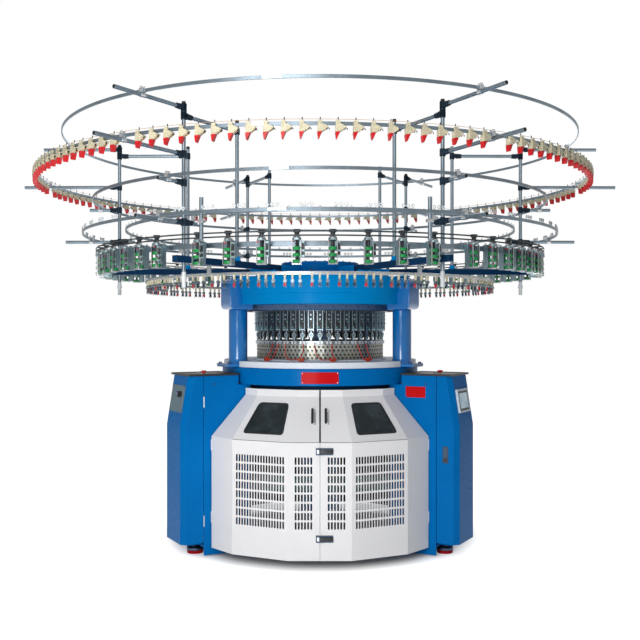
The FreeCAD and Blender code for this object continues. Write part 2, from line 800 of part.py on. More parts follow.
def make_feeders():
    """The feeder rail, a row of positive feeders on it, and the two belts round their pulleys."""
    inner_flat = reckon("outer_post_radius + tube_radius + seat_gap")
    outer_flat = inner_flat + VALUE["rail_thick"]
    bars = [rail_bar(index, inner_flat, outer_flat) for index in range(int(VALUE["rail_bars"]))]
    node(feature("feeder_rail", bars))

    low, top, axis = VALUE["feeder_low"], VALUE["feeder_top"], VALUE["feeder_axis"]
    face = axis - VALUE["wheel_radius"]
    arm_low, arm_end = top - VALUE["feeder_arm_tall"], axis + VALUE["feeder_arm_over"]
    wide = VALUE["feeder_wide"]
    angles = feeder_angles()
    housings = []
    for angle in angles:
        seat = rail_face(angle, outer_flat, wide)
        bracket = plate([(seat, low), (face, low), (face, arm_low), (arm_end, arm_low), (arm_end, top), (seat, top)],
                        wide)
        housings.append(placed(bracket, angle))
    wheels = []
    for index in range(3):
        height = VALUE["top_wheel_height"] - index * VALUE["wheel_pitch"] - VALUE["wheel_tall"] / 2
        wheels.append(disc_block(axis, VALUE["wheel_radius"], height, VALUE["wheel_tall"]))
    pulley = disc_block(axis, VALUE["pulley_radius"], top, VALUE["pulley_tall"])
    node(feature("feeder_housings", housings))
    node(feature("feeder_wheels", [placed(wheel, angle) for angle in angles for wheel in wheels]))
    node(feature("feeder_pulleys", [placed(pulley, angle) for angle in angles]))
    belts = []
    for name in ("upper", "lower"):
        inner = "feeder_axis + pulley_radius + seat_gap * 2"
        radii = [f"( {reach} ) / cos( 180 deg / stations )" for reach in (inner + " + belt_thick", inner)]
        belts.append(ring(f"{name}_belt", *radii, f"{name}_belt_height - belt_tall / 2", "belt_tall", "stations",
                          FLAT_TURN))
    node(compound("feeder_belts", belts))


def make_crown():
    disc = prism("crown_disc", "crown_radius", "crown_low", "crown_top - crown_low")
    hub = prism("crown_hub", "hub_radius", "crown_top", "hub_top - crown_top")
    node(fuse("crown", [disc, hub]))
    sockets = []
    drum, under = "crown_radius + seat_gap", "crown_low - seat_gap"
    for index, angle in enumerate(LEG_ANGLES):
        socket = body(f"crown_socket_{index}", angle)
        drawing = outline(sketch(socket, f"socket_outline_{index}", "XZ_Plane"),
                          [("socket_inner", "socket_low"), ("socket_outer - socket_round", "socket_low"),
                           ("socket_outer", "socket_low + socket_round"),
                           ("socket_outer", "socket_top - socket_round"),
                           ("socket_outer - socket_round", "socket_top"), (drum, "socket_top"), (drum, under),
                           ("socket_inner", under)])
        pad(socket, f"socket_pad_{index}", drawing, "socket_wide", both=True)
        sockets.append(socket)
    node(compound("crown_sockets", sockets))

    beams = []
    for index, angle in enumerate(POST_ANGLES):
        bar = block(f"beam_bar_{index}", angle, "hub_radius + seat_gap", "beam_end", "beam_side",
                    "beam_height - beam_side / 2", "beam_height + beam_side / 2")
        hole = rod(f"beam_hole_{index}", polar(angle, VALUE["outer_post_radius"], reckon("beam_height - beam_side")),
                   UP, "beam_side * 2", "tube_radius + stub_play")
        beams.append(cut(f"beam_{index}", bar, hole))
        beams.append(block(f"saddle_{index}", angle, "beam_saddle_radius - beam_side", "beam_saddle_radius",
                           "beam_side * 2", "crown_top", "beam_height - beam_side / 2"))
    node(compound("radial_beams", beams))

    skins = [folded([hoop(VALUE["skirt_low_radius"] - wall, VALUE["skirt_low"] - past, VALUE["ring_flats"]),
                     hoop(VALUE["skirt_top_radius"] - wall, VALUE["crown_low"], VALUE["ring_flats"])])
             for wall, past in ((0, 0), (VALUE["skirt_wall"], 1))]
    node(feature("crown_skirt", [skins[0].cut(skins[1])]))


def make_columns():
    for name, angle in zip(("column_left", "column_right", "column_rear"), LEG_ANGLES):
        foot = block(f"{name}_foot", angle, "base_inner", "base_outer", "base_wide", "table_top",
                     "table_top + base_tall")
        shaft = prism(f"{name}_shaft", "column_radius", "table_top", "socket_low - table_top", "column_flats")
        shaft.Placement.Base = polar(angle, VALUE["column_circle"], VALUE["table_top"])
        node(fuse(name, [foot, shaft]))


def make_head():
    """The knitting head between the crown and the table."""
    node(ring("carrier_ring", "carrier_ring_outer", "carrier_ring_inner", "carrier_ring_low",
              "crown_low - carrier_ring_low"))
    thick, wide = VALUE["carrier_thick"], VALUE["carrier_wide"]
    near = reckon("head_radius - carrier_thick / 2")
    carrier = Part.makeBox(thick, wide, reckon("carrier_ring_low - carrier_low"),
                           FreeCAD.Vector(near, -wide / 2, VALUE["carrier_low"]))
    slim = VALUE["guide_wide"]
    guide = cross_plate([(-slim / 2, VALUE["carrier_low"]), (slim / 2, VALUE["carrier_low"]), (0, VALUE["guide_low"])],
                        near, slim)
    angles = [STATION_STEP * index for index in range(int(VALUE["stations"]))]
    node(feature("yarn_carriers", [placed(piece, angle) for angle in angles for piece in (carrier, guide)]))
    node(ring("cap_ring", "cap_ring_outer", "cap_ring_inner", "cap_ring_low", "cap_ring_top - cap_ring_low"))
    boxes = ring("cam_ring", "head_radius", "cam_inner", "cam_low", "cap_ring_low - cam_low", "stations", FLAT_TURN)
    index = ring("index_ring", "gear_ring_outer", "gear_ring_inner", "cover_top", "cam_low - cover_top")
    node(fuse("cam_boxes", [boxes, index]))


def make_table():
    node(ring("table", "table_radius", "table_bore", "table_low", "table_top - table_low", "table_flats"))
    cover = ring("cover_blank", "cover_outer", "cover_inner", "table_top", "cover_top - table_top", "table_flats")
    notches = [block(f"cover_notch_{index}", angle, "base_inner - seat_gap", "base_outer + seat_gap",
                     "base_wide + seat_gap * 2", "table_top - 1", "cover_top + 1")
               for index, angle in enumerate(LEG_ANGLES)]
    node(cut("table_cover", cover, fuse("cover_notches", notches)))


LEG_ANGLES = [-VALUE["column_angle"], VALUE["column_angle"], 180.0]


def make_leg(name, angle, closed):
    """A welded box leg in its radial frame. The front legs are open to the cabinet at their outer side."""
    leg = body(name + "_weldment", angle)
    side = outline(sketch(leg, name + "_side", "XZ_Plane"),
                   [("leg_inner", "leg_low"), ("leg_outer", "leg_low"), ("leg_outer", "leg_top"),
                    ("leg_step", "leg_top"), ("leg_step", "table_low"), ("leg_inner", "table_low")])
    pad(leg, name + "_block", side, "leg_half * 2", both=True)
    end = "leg_outer - leg_wall" if closed else "leg_outer + leg_wall"
    hollow = outline(sketch(leg, name + "_hollow_side", "XZ_Plane"),
                     [("leg_inner + leg_wall", "leg_floor + leg_floor_thick"),
                      (end, "leg_floor + leg_floor_thick"), (end, "leg_top - leg_wall"),
                      ("leg_step + leg_wall", "leg_top - leg_wall"),
                      ("leg_step + leg_wall", "table_low - leg_wall"),
                      ("leg_inner + leg_wall", "table_low - leg_wall")])
    pocket(leg, name + "_hollow", hollow, "leg_half * 2 - leg_wall * 2", both=True)
    under = outline(sketch(leg, name + "_under_side", "XZ_Plane"),
                    [("leg_inner + leg_wall", "leg_low - leg_wall"), ("leg_outer + leg_wall", "leg_low - leg_wall"),
                     ("leg_outer + leg_wall", "leg_floor"), ("leg_inner + leg_wall", "leg_floor")])
    pocket(leg, name + "_under", under, "leg_half * 2 - leg_wall * 2", both=True)
    tongue = outline(sketch(leg, name + "_tongue_plan", "XY_Plane", "leg_floor"),
                     [("leg_outer - leg_wall", "-tongue_half"), ("tongue_end", "-tongue_half"),
                      ("tongue_end", "tongue_half"), ("leg_outer - leg_wall", "tongue_half")])
    pad(leg, name + "_tongue", tongue, "leg_floor_thick")
    hole = rod(name + "_foot_hole", polar(angle, VALUE["foot_circle"], reckon("leg_floor - 1")), UP,
               "foot_screw_top - leg_floor + 2", "foot_screw + stub_play")
    node(cut(name, leg, hole))


def make_feet():
    feet = []
    for index, angle in enumerate(LEG_ANGLES):
        spot = [polar(angle, VALUE["foot_circle"], reckon(height)) for height in
                ("0", "foot_tall", "foot_tall + foot_collar_tall")]
        feet.append(fuse(f"foot_{index}", [
            rod(f"foot_pad_{index}", spot[0], UP, "foot_tall", "foot_radius", "foot_flats"),
            rod(f"foot_collar_{index}", spot[1], UP, "foot_collar_tall", "foot_collar", "foot_flats"),
            rod(f"foot_nut_{index}", spot[2], UP, "leg_floor - foot_tall - foot_collar_tall", "foot_screw * 2"),
            rod(f"foot_thread_{index}", spot[1], UP, "foot_screw_top - foot_tall", "foot_screw")]))
    node(compound("levelling_feet", feet))


def cabinet_form(angle, spare, open_by):
    """A cabinet cover's solid form, set in by its sheet: its two outer corners are bent off."""
    levels = []
    for height, reach in ((VALUE["cabinet_low"] + spare, VALUE["cabinet_outer"]),
                          (VALUE["cabinet_knee"], VALUE["cabinet_outer"]),
                          (VALUE["cabinet_top"] - spare, VALUE["cabinet_lip"])):
        edge, bend, half = reach - spare, reach - VALUE["cabinet_bend"] - spare, VALUE["leg_half"] - spare
        back, inner = reckon("leg_outer + cover_gap") - open_by, half - VALUE["cabinet_bend"]
        corners = [(back, -half), (bend, -half), (edge, -inner), (edge, inner), (bend, half), (back, half)]
        levels.append([facing(angle).multVec(FreeCAD.Vector(x, y, height)) for x, y in corners])
    return folded(levels)


def make_cabinet_cover(name, angle):
    """A folded cover that swings on one edge: upright below its knee, sloping in above it."""
    sheet_metal = feature(f"{name}_sheet", [cabinet_form(angle, 0, 0).cut(cabinet_form(angle, VALUE["cabinet_sheet"], 1))])
    if name.endswith("left"):
        node(fuse(name, [sheet_metal, switch_plate(angle)]))
    else:
        sheet_metal.Label = name
        node(sheet_metal)


def slope_place(angle, height, side, out="0"):
    """A placement on a cover's sloping face: its +X points out of the face, its +Z up along it."""
    lean = math.atan2(reckon("cabinet_outer - cabinet_lip"), reckon("cabinet_top - cabinet_knee"))
    reach = reckon("cabinet_outer") - reckon(f"{height} - cabinet_knee") * math.tan(lean)
    spot = FreeCAD.Vector(reach + reckon(out) * math.cos(lean), reckon(side),
                          reckon(height) + reckon(out) * math.sin(lean))
    return facing(angle).multiply(FreeCAD.Placement(spot, FreeCAD.Rotation(FreeCAD.Vector(0, 1, 0),
                                                                           -math.degrees(lean))))


def slope_disc(name, angle, height, side, out, tall, radius, flats="round_flats"):
    """A round piece that stands out of a cover's sloping face."""
    place = slope_place(angle, height, side, out)
    return rod(name, place.Base, place.Rotation.multVec(FreeCAD.Vector(1, 0, 0)), tall, radius, flats)


def switch_plate(angle):
    """The grey plate on the left cover that carries the main switch and the lamp."""
    thing = body("switch_plate")
    thing.Placement = slope_place(angle, "switch_height", "0")
    low, top = "switch_plate_low - switch_height", "switch_plate_top - switch_height"
    face = outline(sketch(thing, "switch_plate_outline", "YZ_Plane"),
                   [("-switch_plate_half", low), ("switch_plate_half", low), ("switch_plate_half", top),
                    ("-switch_plate_half", top)])
    pad(thing, "switch_plate_pad", face, "switch_plate_thick")
    lamp = slope_disc("lamp", angle, "switch_height + lamp_rise", "-lamp_side", "switch_plate_thick", "lamp_tall",
                      "lamp_radius", "tube_flats")
    return fuse("switch_panel", [thing, lamp])


def make_controls():
    """The main switch on the left cover and the touch panel on the right one."""
    base = slope_disc("switch_base", LEG_ANGLES[0], "switch_height", "switch_side", "switch_plate_thick + seat_gap",
                      "switch_tall / 3", "switch_radius")
    grip = doc.addObject("Part::Box", "switch_grip")
    grip.Placement = slope_place(LEG_ANGLES[0], "switch_height", "switch_side", "switch_plate_thick + seat_gap")
    grip.Placement = grip.Placement.multiply(FreeCAD.Placement(
        FreeCAD.Vector(0, -reckon("switch_radius / 4"), -reckon("switch_radius * 0.9")), FreeCAD.Rotation()))
    bind(grip, Length="switch_tall", Width="switch_radius / 2", Height="switch_radius * 1.8")
    node(fuse("main_switch", [base, grip]))
    panel = body("touch_panel")
    panel.Placement = slope_place(LEG_ANGLES[1], "screen_height", "-screen_side", "seat_gap")
    case = outline(sketch(panel, "screen_case", "YZ_Plane"), screen_corners("0"))
    pad(panel, "screen_case_pad", case, "screen_thick")
    glass = outline(sketch(panel, "screen_glass", "YZ_Plane", "screen_thick"), screen_corners("screen_border"))
    pocket(panel, "screen_glass_pocket", glass, "screen_recess")
    node(panel)


def screen_corners(spare):
    """The touch panel's outline, set in by spare."""
    half, tall = f"screen_half - {spare}", f"screen_tall / 2 - {spare}"
    return [(f"-screen_half + {spare}", f"-screen_tall / 2 + {spare}"), (half, f"-screen_tall / 2 + {spare}"),
            (half, tall), (f"-screen_half + {spare}", tall)]


def make_cabinet_top(name, angle):
    """The black tray over a cabinet, with its three push buttons and the stop button's hole."""
    top = body(name + "_tray", angle)
    far, half = "cabinet_lip + top_plate_over", "leg_half + top_plate_over"
    plan = outline(sketch(top, name + "_plan", "XY_Plane", "leg_top"),
                   [("leg_step", "-leg_half - top_plate_over"), (far, "-leg_half - top_plate_over"),
                    (far, half), ("leg_step", half)])
    pad(top, name + "_plate", plan, "top_plate_tall")
    inner = "leg_half + top_plate_over - top_tray_rim"
    tray = outline(sketch(top, name + "_recess_plan", "XY_Plane", "leg_top + top_plate_tall"),
                   [("leg_step + top_tray_rim", "-leg_half - top_plate_over + top_tray_rim"),
                    ("cabinet_lip + top_plate_over - top_tray_rim", "-leg_half - top_plate_over + top_tray_rim"),
                    ("cabinet_lip + top_plate_over - top_tray_rim", inner), ("leg_step + top_tray_rim", inner)])
    pocket(top, name + "_recess", tray, "top_tray_depth")
    buttons = []
    for index in range(3):
        spot = facing(angle).multVec(FreeCAD.Vector(VALUE["stop_button_circle"], -index * VALUE["push_button_pitch"],
                                                    reckon("leg_top + top_plate_tall - top_tray_depth")))
        buttons.append(rod(f"{name}_button_{index}", spot, UP, "push_button_tall", "push_button_radius"))
    spot = facing(angle).multVec(FreeCAD.Vector(VALUE["stop_button_circle"], VALUE["push_button_pitch"],
                                                VALUE["leg_top"] - 1))
    hole = rod(name + "_hole", spot, UP, "top_plate_tall + 2", "stop_button_stem + stub_play")
    node(fuse(name, [cut(name + "_drilled", top, hole)] + buttons))


def make_stop_button(name, angle):
    """A red mushroom-headed button with its stem in the tray's hole."""
    seat = "leg_top + top_plate_tall - top_tray_depth + stop_button_travel + seat_gap"
    spot = facing(angle).multVec(FreeCAD.Vector(VALUE["stop_button_circle"], VALUE["push_button_pitch"], reckon(seat)))
    head = rod(name + "_head", spot, UP, "stop_button_tall", "stop_button_head", "round_flats")
    deep = "top_plate_tall - top_tray_depth - leg_wall / 4"
    stem = rod(name + "_stem", spot - UP * reckon(deep), UP, deep, "stop_button_stem")
    node(fuse(name, [head, stem]))


def guard_turn():
    """The turn that puts a flat of the guard at the front."""
    return -90 + 180 / VALUE["guard_sides"]


def guard_form(wall, past):
    """The guard's solid form, set in by a wall: upright, sloping, then the collar."""
    flat = math.cos(math.pi / VALUE["guard_sides"])
    wide, narrow = VALUE["guard_radius"] - wall / flat, VALUE["guard_collar"] - wall / flat
    return folded([hoop(radius, height, VALUE["guard_sides"], guard_turn()) for radius, height in (
        (wide, VALUE["guard_low"] - past), (wide, VALUE["guard_knee"]), (narrow, VALUE["guard_shoulder"]),
        (narrow, VALUE["guard_top"] + past))])


def guard_shell(name):
    """The folded sheet all the way round, before it is parted."""
    return feature(name, [guard_form(0, 0).cut(guard_form(VALUE["guard_sheet"], 1))])


def leg_side_cut(name, angle, side, gap="guard_leg_gap"):
    """The space beside a leg, on its +1 or -1 local side, that a guard may fill."""
    middle = f"leg_half + {gap} + guard_radius" if side > 0 else f"-leg_half - {gap} - guard_radius"
    return block(name, angle, "-guard_radius", "guard_radius * 2", "guard_radius * 2", "0", "guard_top + guard_low",
                 middle)


def make_doors():
    """The two gate leaves, folded from one fifteen-sided form and parted at the front seam."""
    for leaf, sign, leg_angle in (("left", -1, LEG_ANGLES[0]), ("right", 1, LEG_ANGLES[1])):
        skin = guard_shell(f"guard_shell_{leaf}")
        wedge = leg_side_cut(f"door_{leaf}_leg_side", leg_angle, -sign)
        front = doc.addObject("Part::Box", f"door_{leaf}_front")
        bind(front, Length="guard_radius", Width="guard_radius", Height="guard_top + guard_low")
        reach = VALUE["guard_radius"]
        near = VALUE["seam_half"] if sign > 0 else -VALUE["seam_half"] - reach
        front.Placement.Base = FreeCAD.Vector(near, -reach, 0)
        blank = common(f"door_{leaf}_blank", [skin, wedge, front])
        pierced = cut(f"door_{leaf}_sheet", blank, door_openings(leaf, sign))
        node(compound(f"door_{leaf}", [pierced, grille_strips(leaf, sign), door_handle(leaf, sign),
                                       latch_seats(leaf, sign)]))
        node(door_window(leaf, sign))


def facet_point(facet, along, height, out=0.0):
    """A point on a guard facet: along it to the right, at a height, out from its face."""
    flat = math.cos(math.pi / VALUE["guard_sides"])
    low, high = VALUE["guard_radius"] * flat, VALUE["guard_collar"] * flat
    rise = VALUE["guard_shoulder"] - VALUE["guard_knee"]
    up = min(max((height - VALUE["guard_knee"]) / rise, 0), 1)
    slope = math.atan2(low - high, rise) if 0 < up < 1 else 0
    depth = low + (high - low) * up + out * math.cos(slope)
    turn = math.radians(facet)
    return FreeCAD.Vector(depth * math.sin(turn) + along * math.cos(turn),
                          -depth * math.cos(turn) + along * math.sin(turn), height + out * math.sin(slope))


def slab(facet, corners, inner, outer):
    """A solid over an outline of (along, height) points on a facet, from inner to outer of its face."""
    near = [facet_point(facet, along, height, inner) for along, height in corners]
    far = facet_point(facet, *corners[0], outer) - near[0]
    return Part.Face(Part.makePolygon(near + near[:1])).extrude(far)


def slot_places(sign):
    """The middle of each slot column: (facet, along)."""
    side = 360 / VALUE["guard_sides"] * sign
    pitch = VALUE["slot_pitch"]
    columns = [(side, pitch * (index - (VALUE["side_slots"] - 1) / 2)) for index in range(int(VALUE["side_slots"]))]
    columns += [(0, sign * VALUE["centre_slot_middle"] + pitch * (index - (VALUE["centre_slots"] - 1) / 2))
                for index in range(int(VALUE["centre_slots"]))]
    return columns


def window_corners(sign, spare):
    """The window's outline with its corners taken off, set in by spare."""
    low, top = VALUE["window_low"] + spare, VALUE["window_top"] - spare
    wide, narrow = VALUE["window_low_half"] - spare, VALUE["window_top_half"] - spare
    nip = VALUE["window_corner"]
    lean = (wide - narrow) / (top - low)
    right = [(wide - nip, low), (wide - lean * nip, low + nip), (narrow + lean * nip, top - nip), (narrow - nip, top)]
    return right + [(-x, z) for x, z in reversed(right)]


def door_openings(leaf, sign):
    side = 360 / VALUE["guard_sides"] * sign
    half, wall = VALUE["slot_wide"] / 2, VALUE["guard_sheet"]
    tools = []
    for facet, along in slot_places(sign):
        corners = [(along - half, VALUE["slot_low"]), (along + half, VALUE["slot_low"]),
                   (along + half, VALUE["slot_top"]), (along - half, VALUE["slot_top"])]
        tools.append(slab(facet, corners, -2 * wall, wall))
    tools.append(slab(side, window_corners(sign, 0), -2 * wall, wall))
    return feature(f"door_{leaf}_openings", tools)


def grille_strips(leaf, sign):
    """The level strips behind the upright slots, which part them into rows."""
    side = 360 / VALUE["guard_sides"] * sign
    rows, tall = int(VALUE["slot_rows"]), VALUE["slot_row_tall"]
    gap = (VALUE["slot_top"] - VALUE["slot_low"] - rows * tall) / (rows - 1)
    wall, thick = VALUE["guard_sheet"], VALUE["strip_thick"]
    fields = [(side, 0, VALUE["side_slots"]), (0, sign * VALUE["centre_slot_middle"], VALUE["centre_slots"])]
    strips = []
    for facet, middle, count in fields:
        reach = count * VALUE["slot_pitch"] / 2
        for row in range(1, rows):
            low = VALUE["slot_low"] + row * (tall + gap) - gap
            corners = [(middle - reach, low), (middle + reach, low), (middle + reach, low + gap),
                       (middle - reach, low + gap)]
            strips.append(slab(facet, corners, -wall - thick, -wall))
    return feature(f"grille_strips_{leaf}", strips)


def door_window(leaf, sign):
    """The dark pane in the leaf's sloping facet."""
    side = 360 / VALUE["guard_sides"] * sign
    return feature(f"window_{leaf}", [slab(side, window_corners(sign, VALUE["seat_gap"]), -VALUE["guard_sheet"], 0)])


def door_handle(leaf, sign):
    """A pull handle on the sloping centre facet: a bar on two short stands."""
    middle, half = sign * VALUE["handle_middle"], VALUE["handle_bar"] / 2
    low, top, bar = VALUE["handle_low"], VALUE["handle_top"], VALUE["handle_bar"]
    stand = VALUE["handle_stand"]
    spans = [(low, low + bar, 0, stand - bar), (top - bar, top, 0, stand - bar), (low, top, stand - bar, stand)]
    pieces = [slab(0, [(middle - half, a), (middle + half, a), (middle + half, b), (middle - half, b)], near, far)
              for a, b, near, far in spans]
    return feature(f"handle_{leaf}", [pieces[0].fuse(pieces[1:]).removeSplitter()])


def latch_face():
    return VALUE["guard_radius"] * math.cos(math.pi / VALUE["guard_sides"])


def latch_seats(leaf, sign):
    """What each latch bears on: keepers on the left leaf, base plates under the levers on the right."""
    deep = VALUE["latch_base_deep"] if sign > 0 else reckon("latch_base_deep + latch_lever_deep")
    long = VALUE["latch_long"] if sign > 0 else VALUE["keeper_long"]
    near = VALUE["seam_half"] if sign > 0 else -VALUE["seam_half"] - long
    seats = [Part.makeBox(long, deep, VALUE["latch_tall"],
                          FreeCAD.Vector(near, -latch_face() - deep, reckon(f"latch_{name} - latch_tall / 2")))
             for name in ("upper", "lower")]
    return feature(f"latch_seats_{leaf}", seats)


def make_latches():
    """The levers of the two toggle latches on the right leaf."""
    for name in ("upper", "lower"):
        lever = body(f"{name}_latch")
        lever.Placement.Base = FreeCAD.Vector(0, -latch_face() - reckon("latch_base_deep + seat_gap"),
                                              reckon(f"latch_{name} - latch_tall / 2"))
        plan = outline(sketch(lever, f"{name}_lever_plan", "XY_Plane"),
                       [("seam_half", "0"), ("seam_half", "-latch_lever_deep"),
                        ("latch_long - latch_lever_deep", "-latch_lever_deep"),
                        ("latch_long + seam_half", "-latch_lever_deep / 2"), ("latch_long + seam_half", "0")])
        pad(lever, f"{name}_lever_pad", plan, "latch_tall")
        node(lever)


def make_rear_guards():
    """Fixed guards of the same folded form, from each front leg round to the rear leg."""
    guards = []
    for leaf, sign, leg_angle in (("left", -1, LEG_ANGLES[0]), ("right", 1, LEG_ANGLES[1])):
        skin = guard_shell(f"rear_shell_{leaf}")
        beside = leg_side_cut(f"rear_{leaf}_beside", leg_angle, sign, "seat_gap")
        behind = leg_side_cut(f"rear_{leaf}_behind", LEG_ANGLES[2], -sign, "seat_gap")
        guards.append(common(f"rear_guard_{leaf}", [skin, beside, behind]))
    node(compound("rear_guards", guards))


def make_hinges():
    """Hinge barrels of the gate leaves and of the two cabinet covers."""
    barrels = []
    for angle, front in ((LEG_ANGLES[0], 1), (LEG_ANGLES[1], -1)):
        for height in ("door_hinge_upper", "door_hinge_lower"):
            barrels.append((angle, VALUE["door_hinge_radius"], front * VALUE["door_hinge_out"], VALUE[height]))
        for height in ("cover_hinge_upper", "cover_hinge_lower"):
            barrels.append((angle, reckon("leg_outer + cover_gap / 2"), VALUE["door_hinge_out"], VALUE[height]))
    pins = []
    for index, (angle, radius, side, height) in enumerate(barrels):
        start = facing(angle).multVec(FreeCAD.Vector(radius, side, height - VALUE["hinge_long"] / 2))
        pins.append(rod(f"hinge_{index}", start, UP, "hinge_long", "hinge_radius", "barrel_flats"))
    node(compound("hinge_barrels", pins))


def make_rotor():
    """The needle cylinder, the turntable under the table and the take-down frame that hangs from it."""
    wall = ring("cylinder_wall_ring", "cylinder_radius", "cylinder_radius - cylinder_wall", "cylinder_low",
                "cylinder_top - cylinder_low")
    race = ring("cylinder_race", "bearing_outer", "cylinder_radius - cylinder_wall / 2", "table_top + seat_gap",
                "bearing_tall")
    node(fuse("needle_cylinder", [wall, race]))
    cheeks = [ring("turntable", "turntable_radius", "cylinder_radius - cylinder_wall", "cylinder_low - turntable_tall",
                   "turntable_tall")]
    across = FreeCAD.Vector(1, 0, 0)
    rollers = (("takedown_roller_front", "-roller_radius - roller_gap / 2", "roller_height", "roller_radius"),
               ("takedown_roller_rear", "roller_radius + roller_gap / 2", "roller_height", "roller_radius"),
               ("cloth_roller", "0", "cloth_height", "cloth_radius"))
    for name, near in (("left", "-cheek_half - cheek_thick"), ("right", "cheek_half")):
        slab_box = doc.addObject("Part::Box", f"cheek_{name}_blank")
        bind(slab_box, Length="cheek_thick", Width="cheek_wide", Height="cylinder_low - turntable_tall - cheek_low",
             _at_x=near, _at_y="-cheek_wide / 2", _at_z="cheek_low")
        seats = [bore(f"{roller}_seat_{name}", FreeCAD.Vector(reckon(near) - 1, reckon(y), reckon(height)), across,
                      "cheek_thick + 2", "stub_radius + stub_play", "barrel_flats")
                 for roller, y, height, radius in rollers]
        cheeks.append(cut(f"cheek_{name}", slab_box, fuse(f"cheek_{name}_seats", seats)))
    node(fuse("takedown_frame", cheeks))
    for name, y, height, radius in rollers:
        drum = rod(f"{name}_drum", FreeCAD.Vector(-reckon("cheek_half - end_play"), reckon(y), reckon(height)), across,
                   "cheek_half * 2 - end_play * 2", radius, "round_flats")
        stub = rod(f"{name}_stub", FreeCAD.Vector(-reckon("cheek_half + cheek_thick"), reckon(y), reckon(height)),
                   across, "cheek_half * 2 + cheek_thick * 2", "stub_radius", "round_flats")
        node(fuse(name, [drum, stub]))


def belt_loop(near, near_radius, far, far_radius):
    """The outline round two pulleys that stand at local radii near and far."""
    lean = math.acos((near_radius - far_radius) / (far - near))
    points = []
    for middle, radius, start, end in ((near, near_radius, lean, 2 * math.pi - lean), (far, far_radius, -lean, lean)):
        points += [FreeCAD.Vector(middle + radius * math.cos(turn), radius * math.sin(turn), 0)
                   for turn in (start + (end - start) * step / 10 for step in range(11))]
    return Part.Face(Part.makePolygon(points + points[:1]))


def make_cabinet_insides():
    """The electrical panel in the left leg, and the motor, belt and drive shaft in the right one."""
    left, right = LEG_ANGLES[0], LEG_ANGLES[1]
    near = "panel_circle"
    panel = block("panel_sheet", left, near, near + " + panel_thick", "leg_half * 2 - leg_wall * 2 - seat_gap * 2",
                  "leg_floor + leg_floor_thick", "leg_top - leg_wall - foot_circle / 10")
    devices = [block(f"panel_device_{index}", left, near + f" - {deep}", near, wide, low, high)
               for index, (deep, wide, low, high) in enumerate((("inverter_deep", "inverter_wide", "560", "860"),
                                                                ("contactor_deep", "contactor_wide", "320", "400"),
                                                                ("contactor_deep", "contactor_wide", "180", "230")))]
    node(fuse("electrical_panel", [panel] + devices))

    floor = "leg_floor + leg_floor_thick"
    motor_spot = polar(right, VALUE["motor_circle"])
    motor_foot = block("motor_foot", right, "motor_circle - motor_radius", "motor_circle + motor_radius",
                       "motor_radius * 2", floor, floor + " + motor_foot_tall")
    lift = reckon(floor + " + motor_foot_tall")
    housing = rod("motor_housing", motor_spot + FreeCAD.Vector(0, 0, lift), UP, "motor_long", "motor_radius",
                  "round_flats")
    lift = reckon(floor + " + motor_foot_tall + motor_long")
    shaft = rod("motor_shaft", motor_spot + FreeCAD.Vector(0, 0, lift), UP,
                less("drive_belt_height + pulley_wide", floor + " + motor_foot_tall + motor_long"), "drive_shaft_radius",
                "round_flats")
    motor = fuse("motor_casting", [motor_foot, housing, shaft])
    bearings = []
    for index, height in enumerate(("drive_belt_height - pulley_wide * 3", "cylinder_low - pulley_wide")):
        seat = block(f"bearing_block_{index}", right, "drive_shaft_circle - drive_shaft_radius * 2",
                     "drive_shaft_circle + drive_shaft_radius * 2", "leg_half * 2 - leg_wall * 2 - seat_gap * 2",
                     height, height + " + pulley_wide")
        hole = bore(f"bearing_bore_{index}", polar(right, VALUE["drive_shaft_circle"], reckon(height + " - 1")), UP,
                    "pulley_wide + 2", "drive_shaft_radius + stub_play")
        bearings.append(cut(f"bearing_{index}", seat, hole))
    node(compound("drive_motor", [motor] + bearings))

    low = "drive_belt_height - pulley_wide / 2"
    rim = rod("motor_pulley_rim", motor_spot + FreeCAD.Vector(0, 0, reckon(low)), UP, "pulley_wide",
              "drive_pulley_radius", "round_flats")
    hole = bore("motor_pulley_bore", motor_spot + FreeCAD.Vector(0, 0, reckon(low + " - 1")), UP, "pulley_wide + 2",
                "drive_shaft_radius + stub_play")
    node(cut("motor_pulley", rim, hole))
    wheel = rod("shaft_pulley_rim", polar(right, VALUE["drive_shaft_circle"], reckon(low)), UP, "pulley_wide",
                "shaft_pulley_radius", "round_flats")
    start = "drive_belt_height - pulley_wide * 3"
    shaft = rod("drive_shaft_bar", polar(right, VALUE["drive_shaft_circle"], reckon(start)), UP,
                less("cylinder_low", start), "drive_shaft_radius", "round_flats")
    node(fuse("drive_shaft", [wheel, shaft]))

    spots = (VALUE["drive_shaft_circle"], VALUE["motor_circle"])
    loops = [belt_loop(spots[0], VALUE["shaft_pulley_radius"] + out, spots[1], VALUE["drive_pulley_radius"] + out)
             for out in (reckon("seat_gap * 2") / 2 + 1, reckon("seat_gap + drive_belt_wall") + 1)]
    band = loops[1].cut(loops[0]).extrude(FreeCAD.Vector(0, 0, reckon("pulley_wide * 0.8")))
    band.translate(FreeCAD.Vector(0, 0, reckon("drive_belt_height - pulley_wide * 0.4")))
    node(feature("drive_belt", [placed(band, right)]))


def finish():
    doc.recompute()
    failed = [thing.Name for thing in doc.Objects if "Invalid" in thing.State or "Error" in thing.State]
    if failed:
        raise RuntimeError(f"failed objects: {failed}")
    os.makedirs("parts", exist_ok=True)
    for thing in NODES:
        shape = thing.Shape
        if shape.isNull() or not shape.isValid() or not shape.Solids:
            raise RuntimeError(f"{thing.Label}: bad shape")
    for thing in NODES:
        thing.Shape.exportStep(f"parts/{thing.Label}.step")
        print(f"{thing.Label:24s} solids {len(thing.Shape.Solids):4d} faces {len(thing.Shape.Faces):5d}")
    print(len(NODES), "nodes")


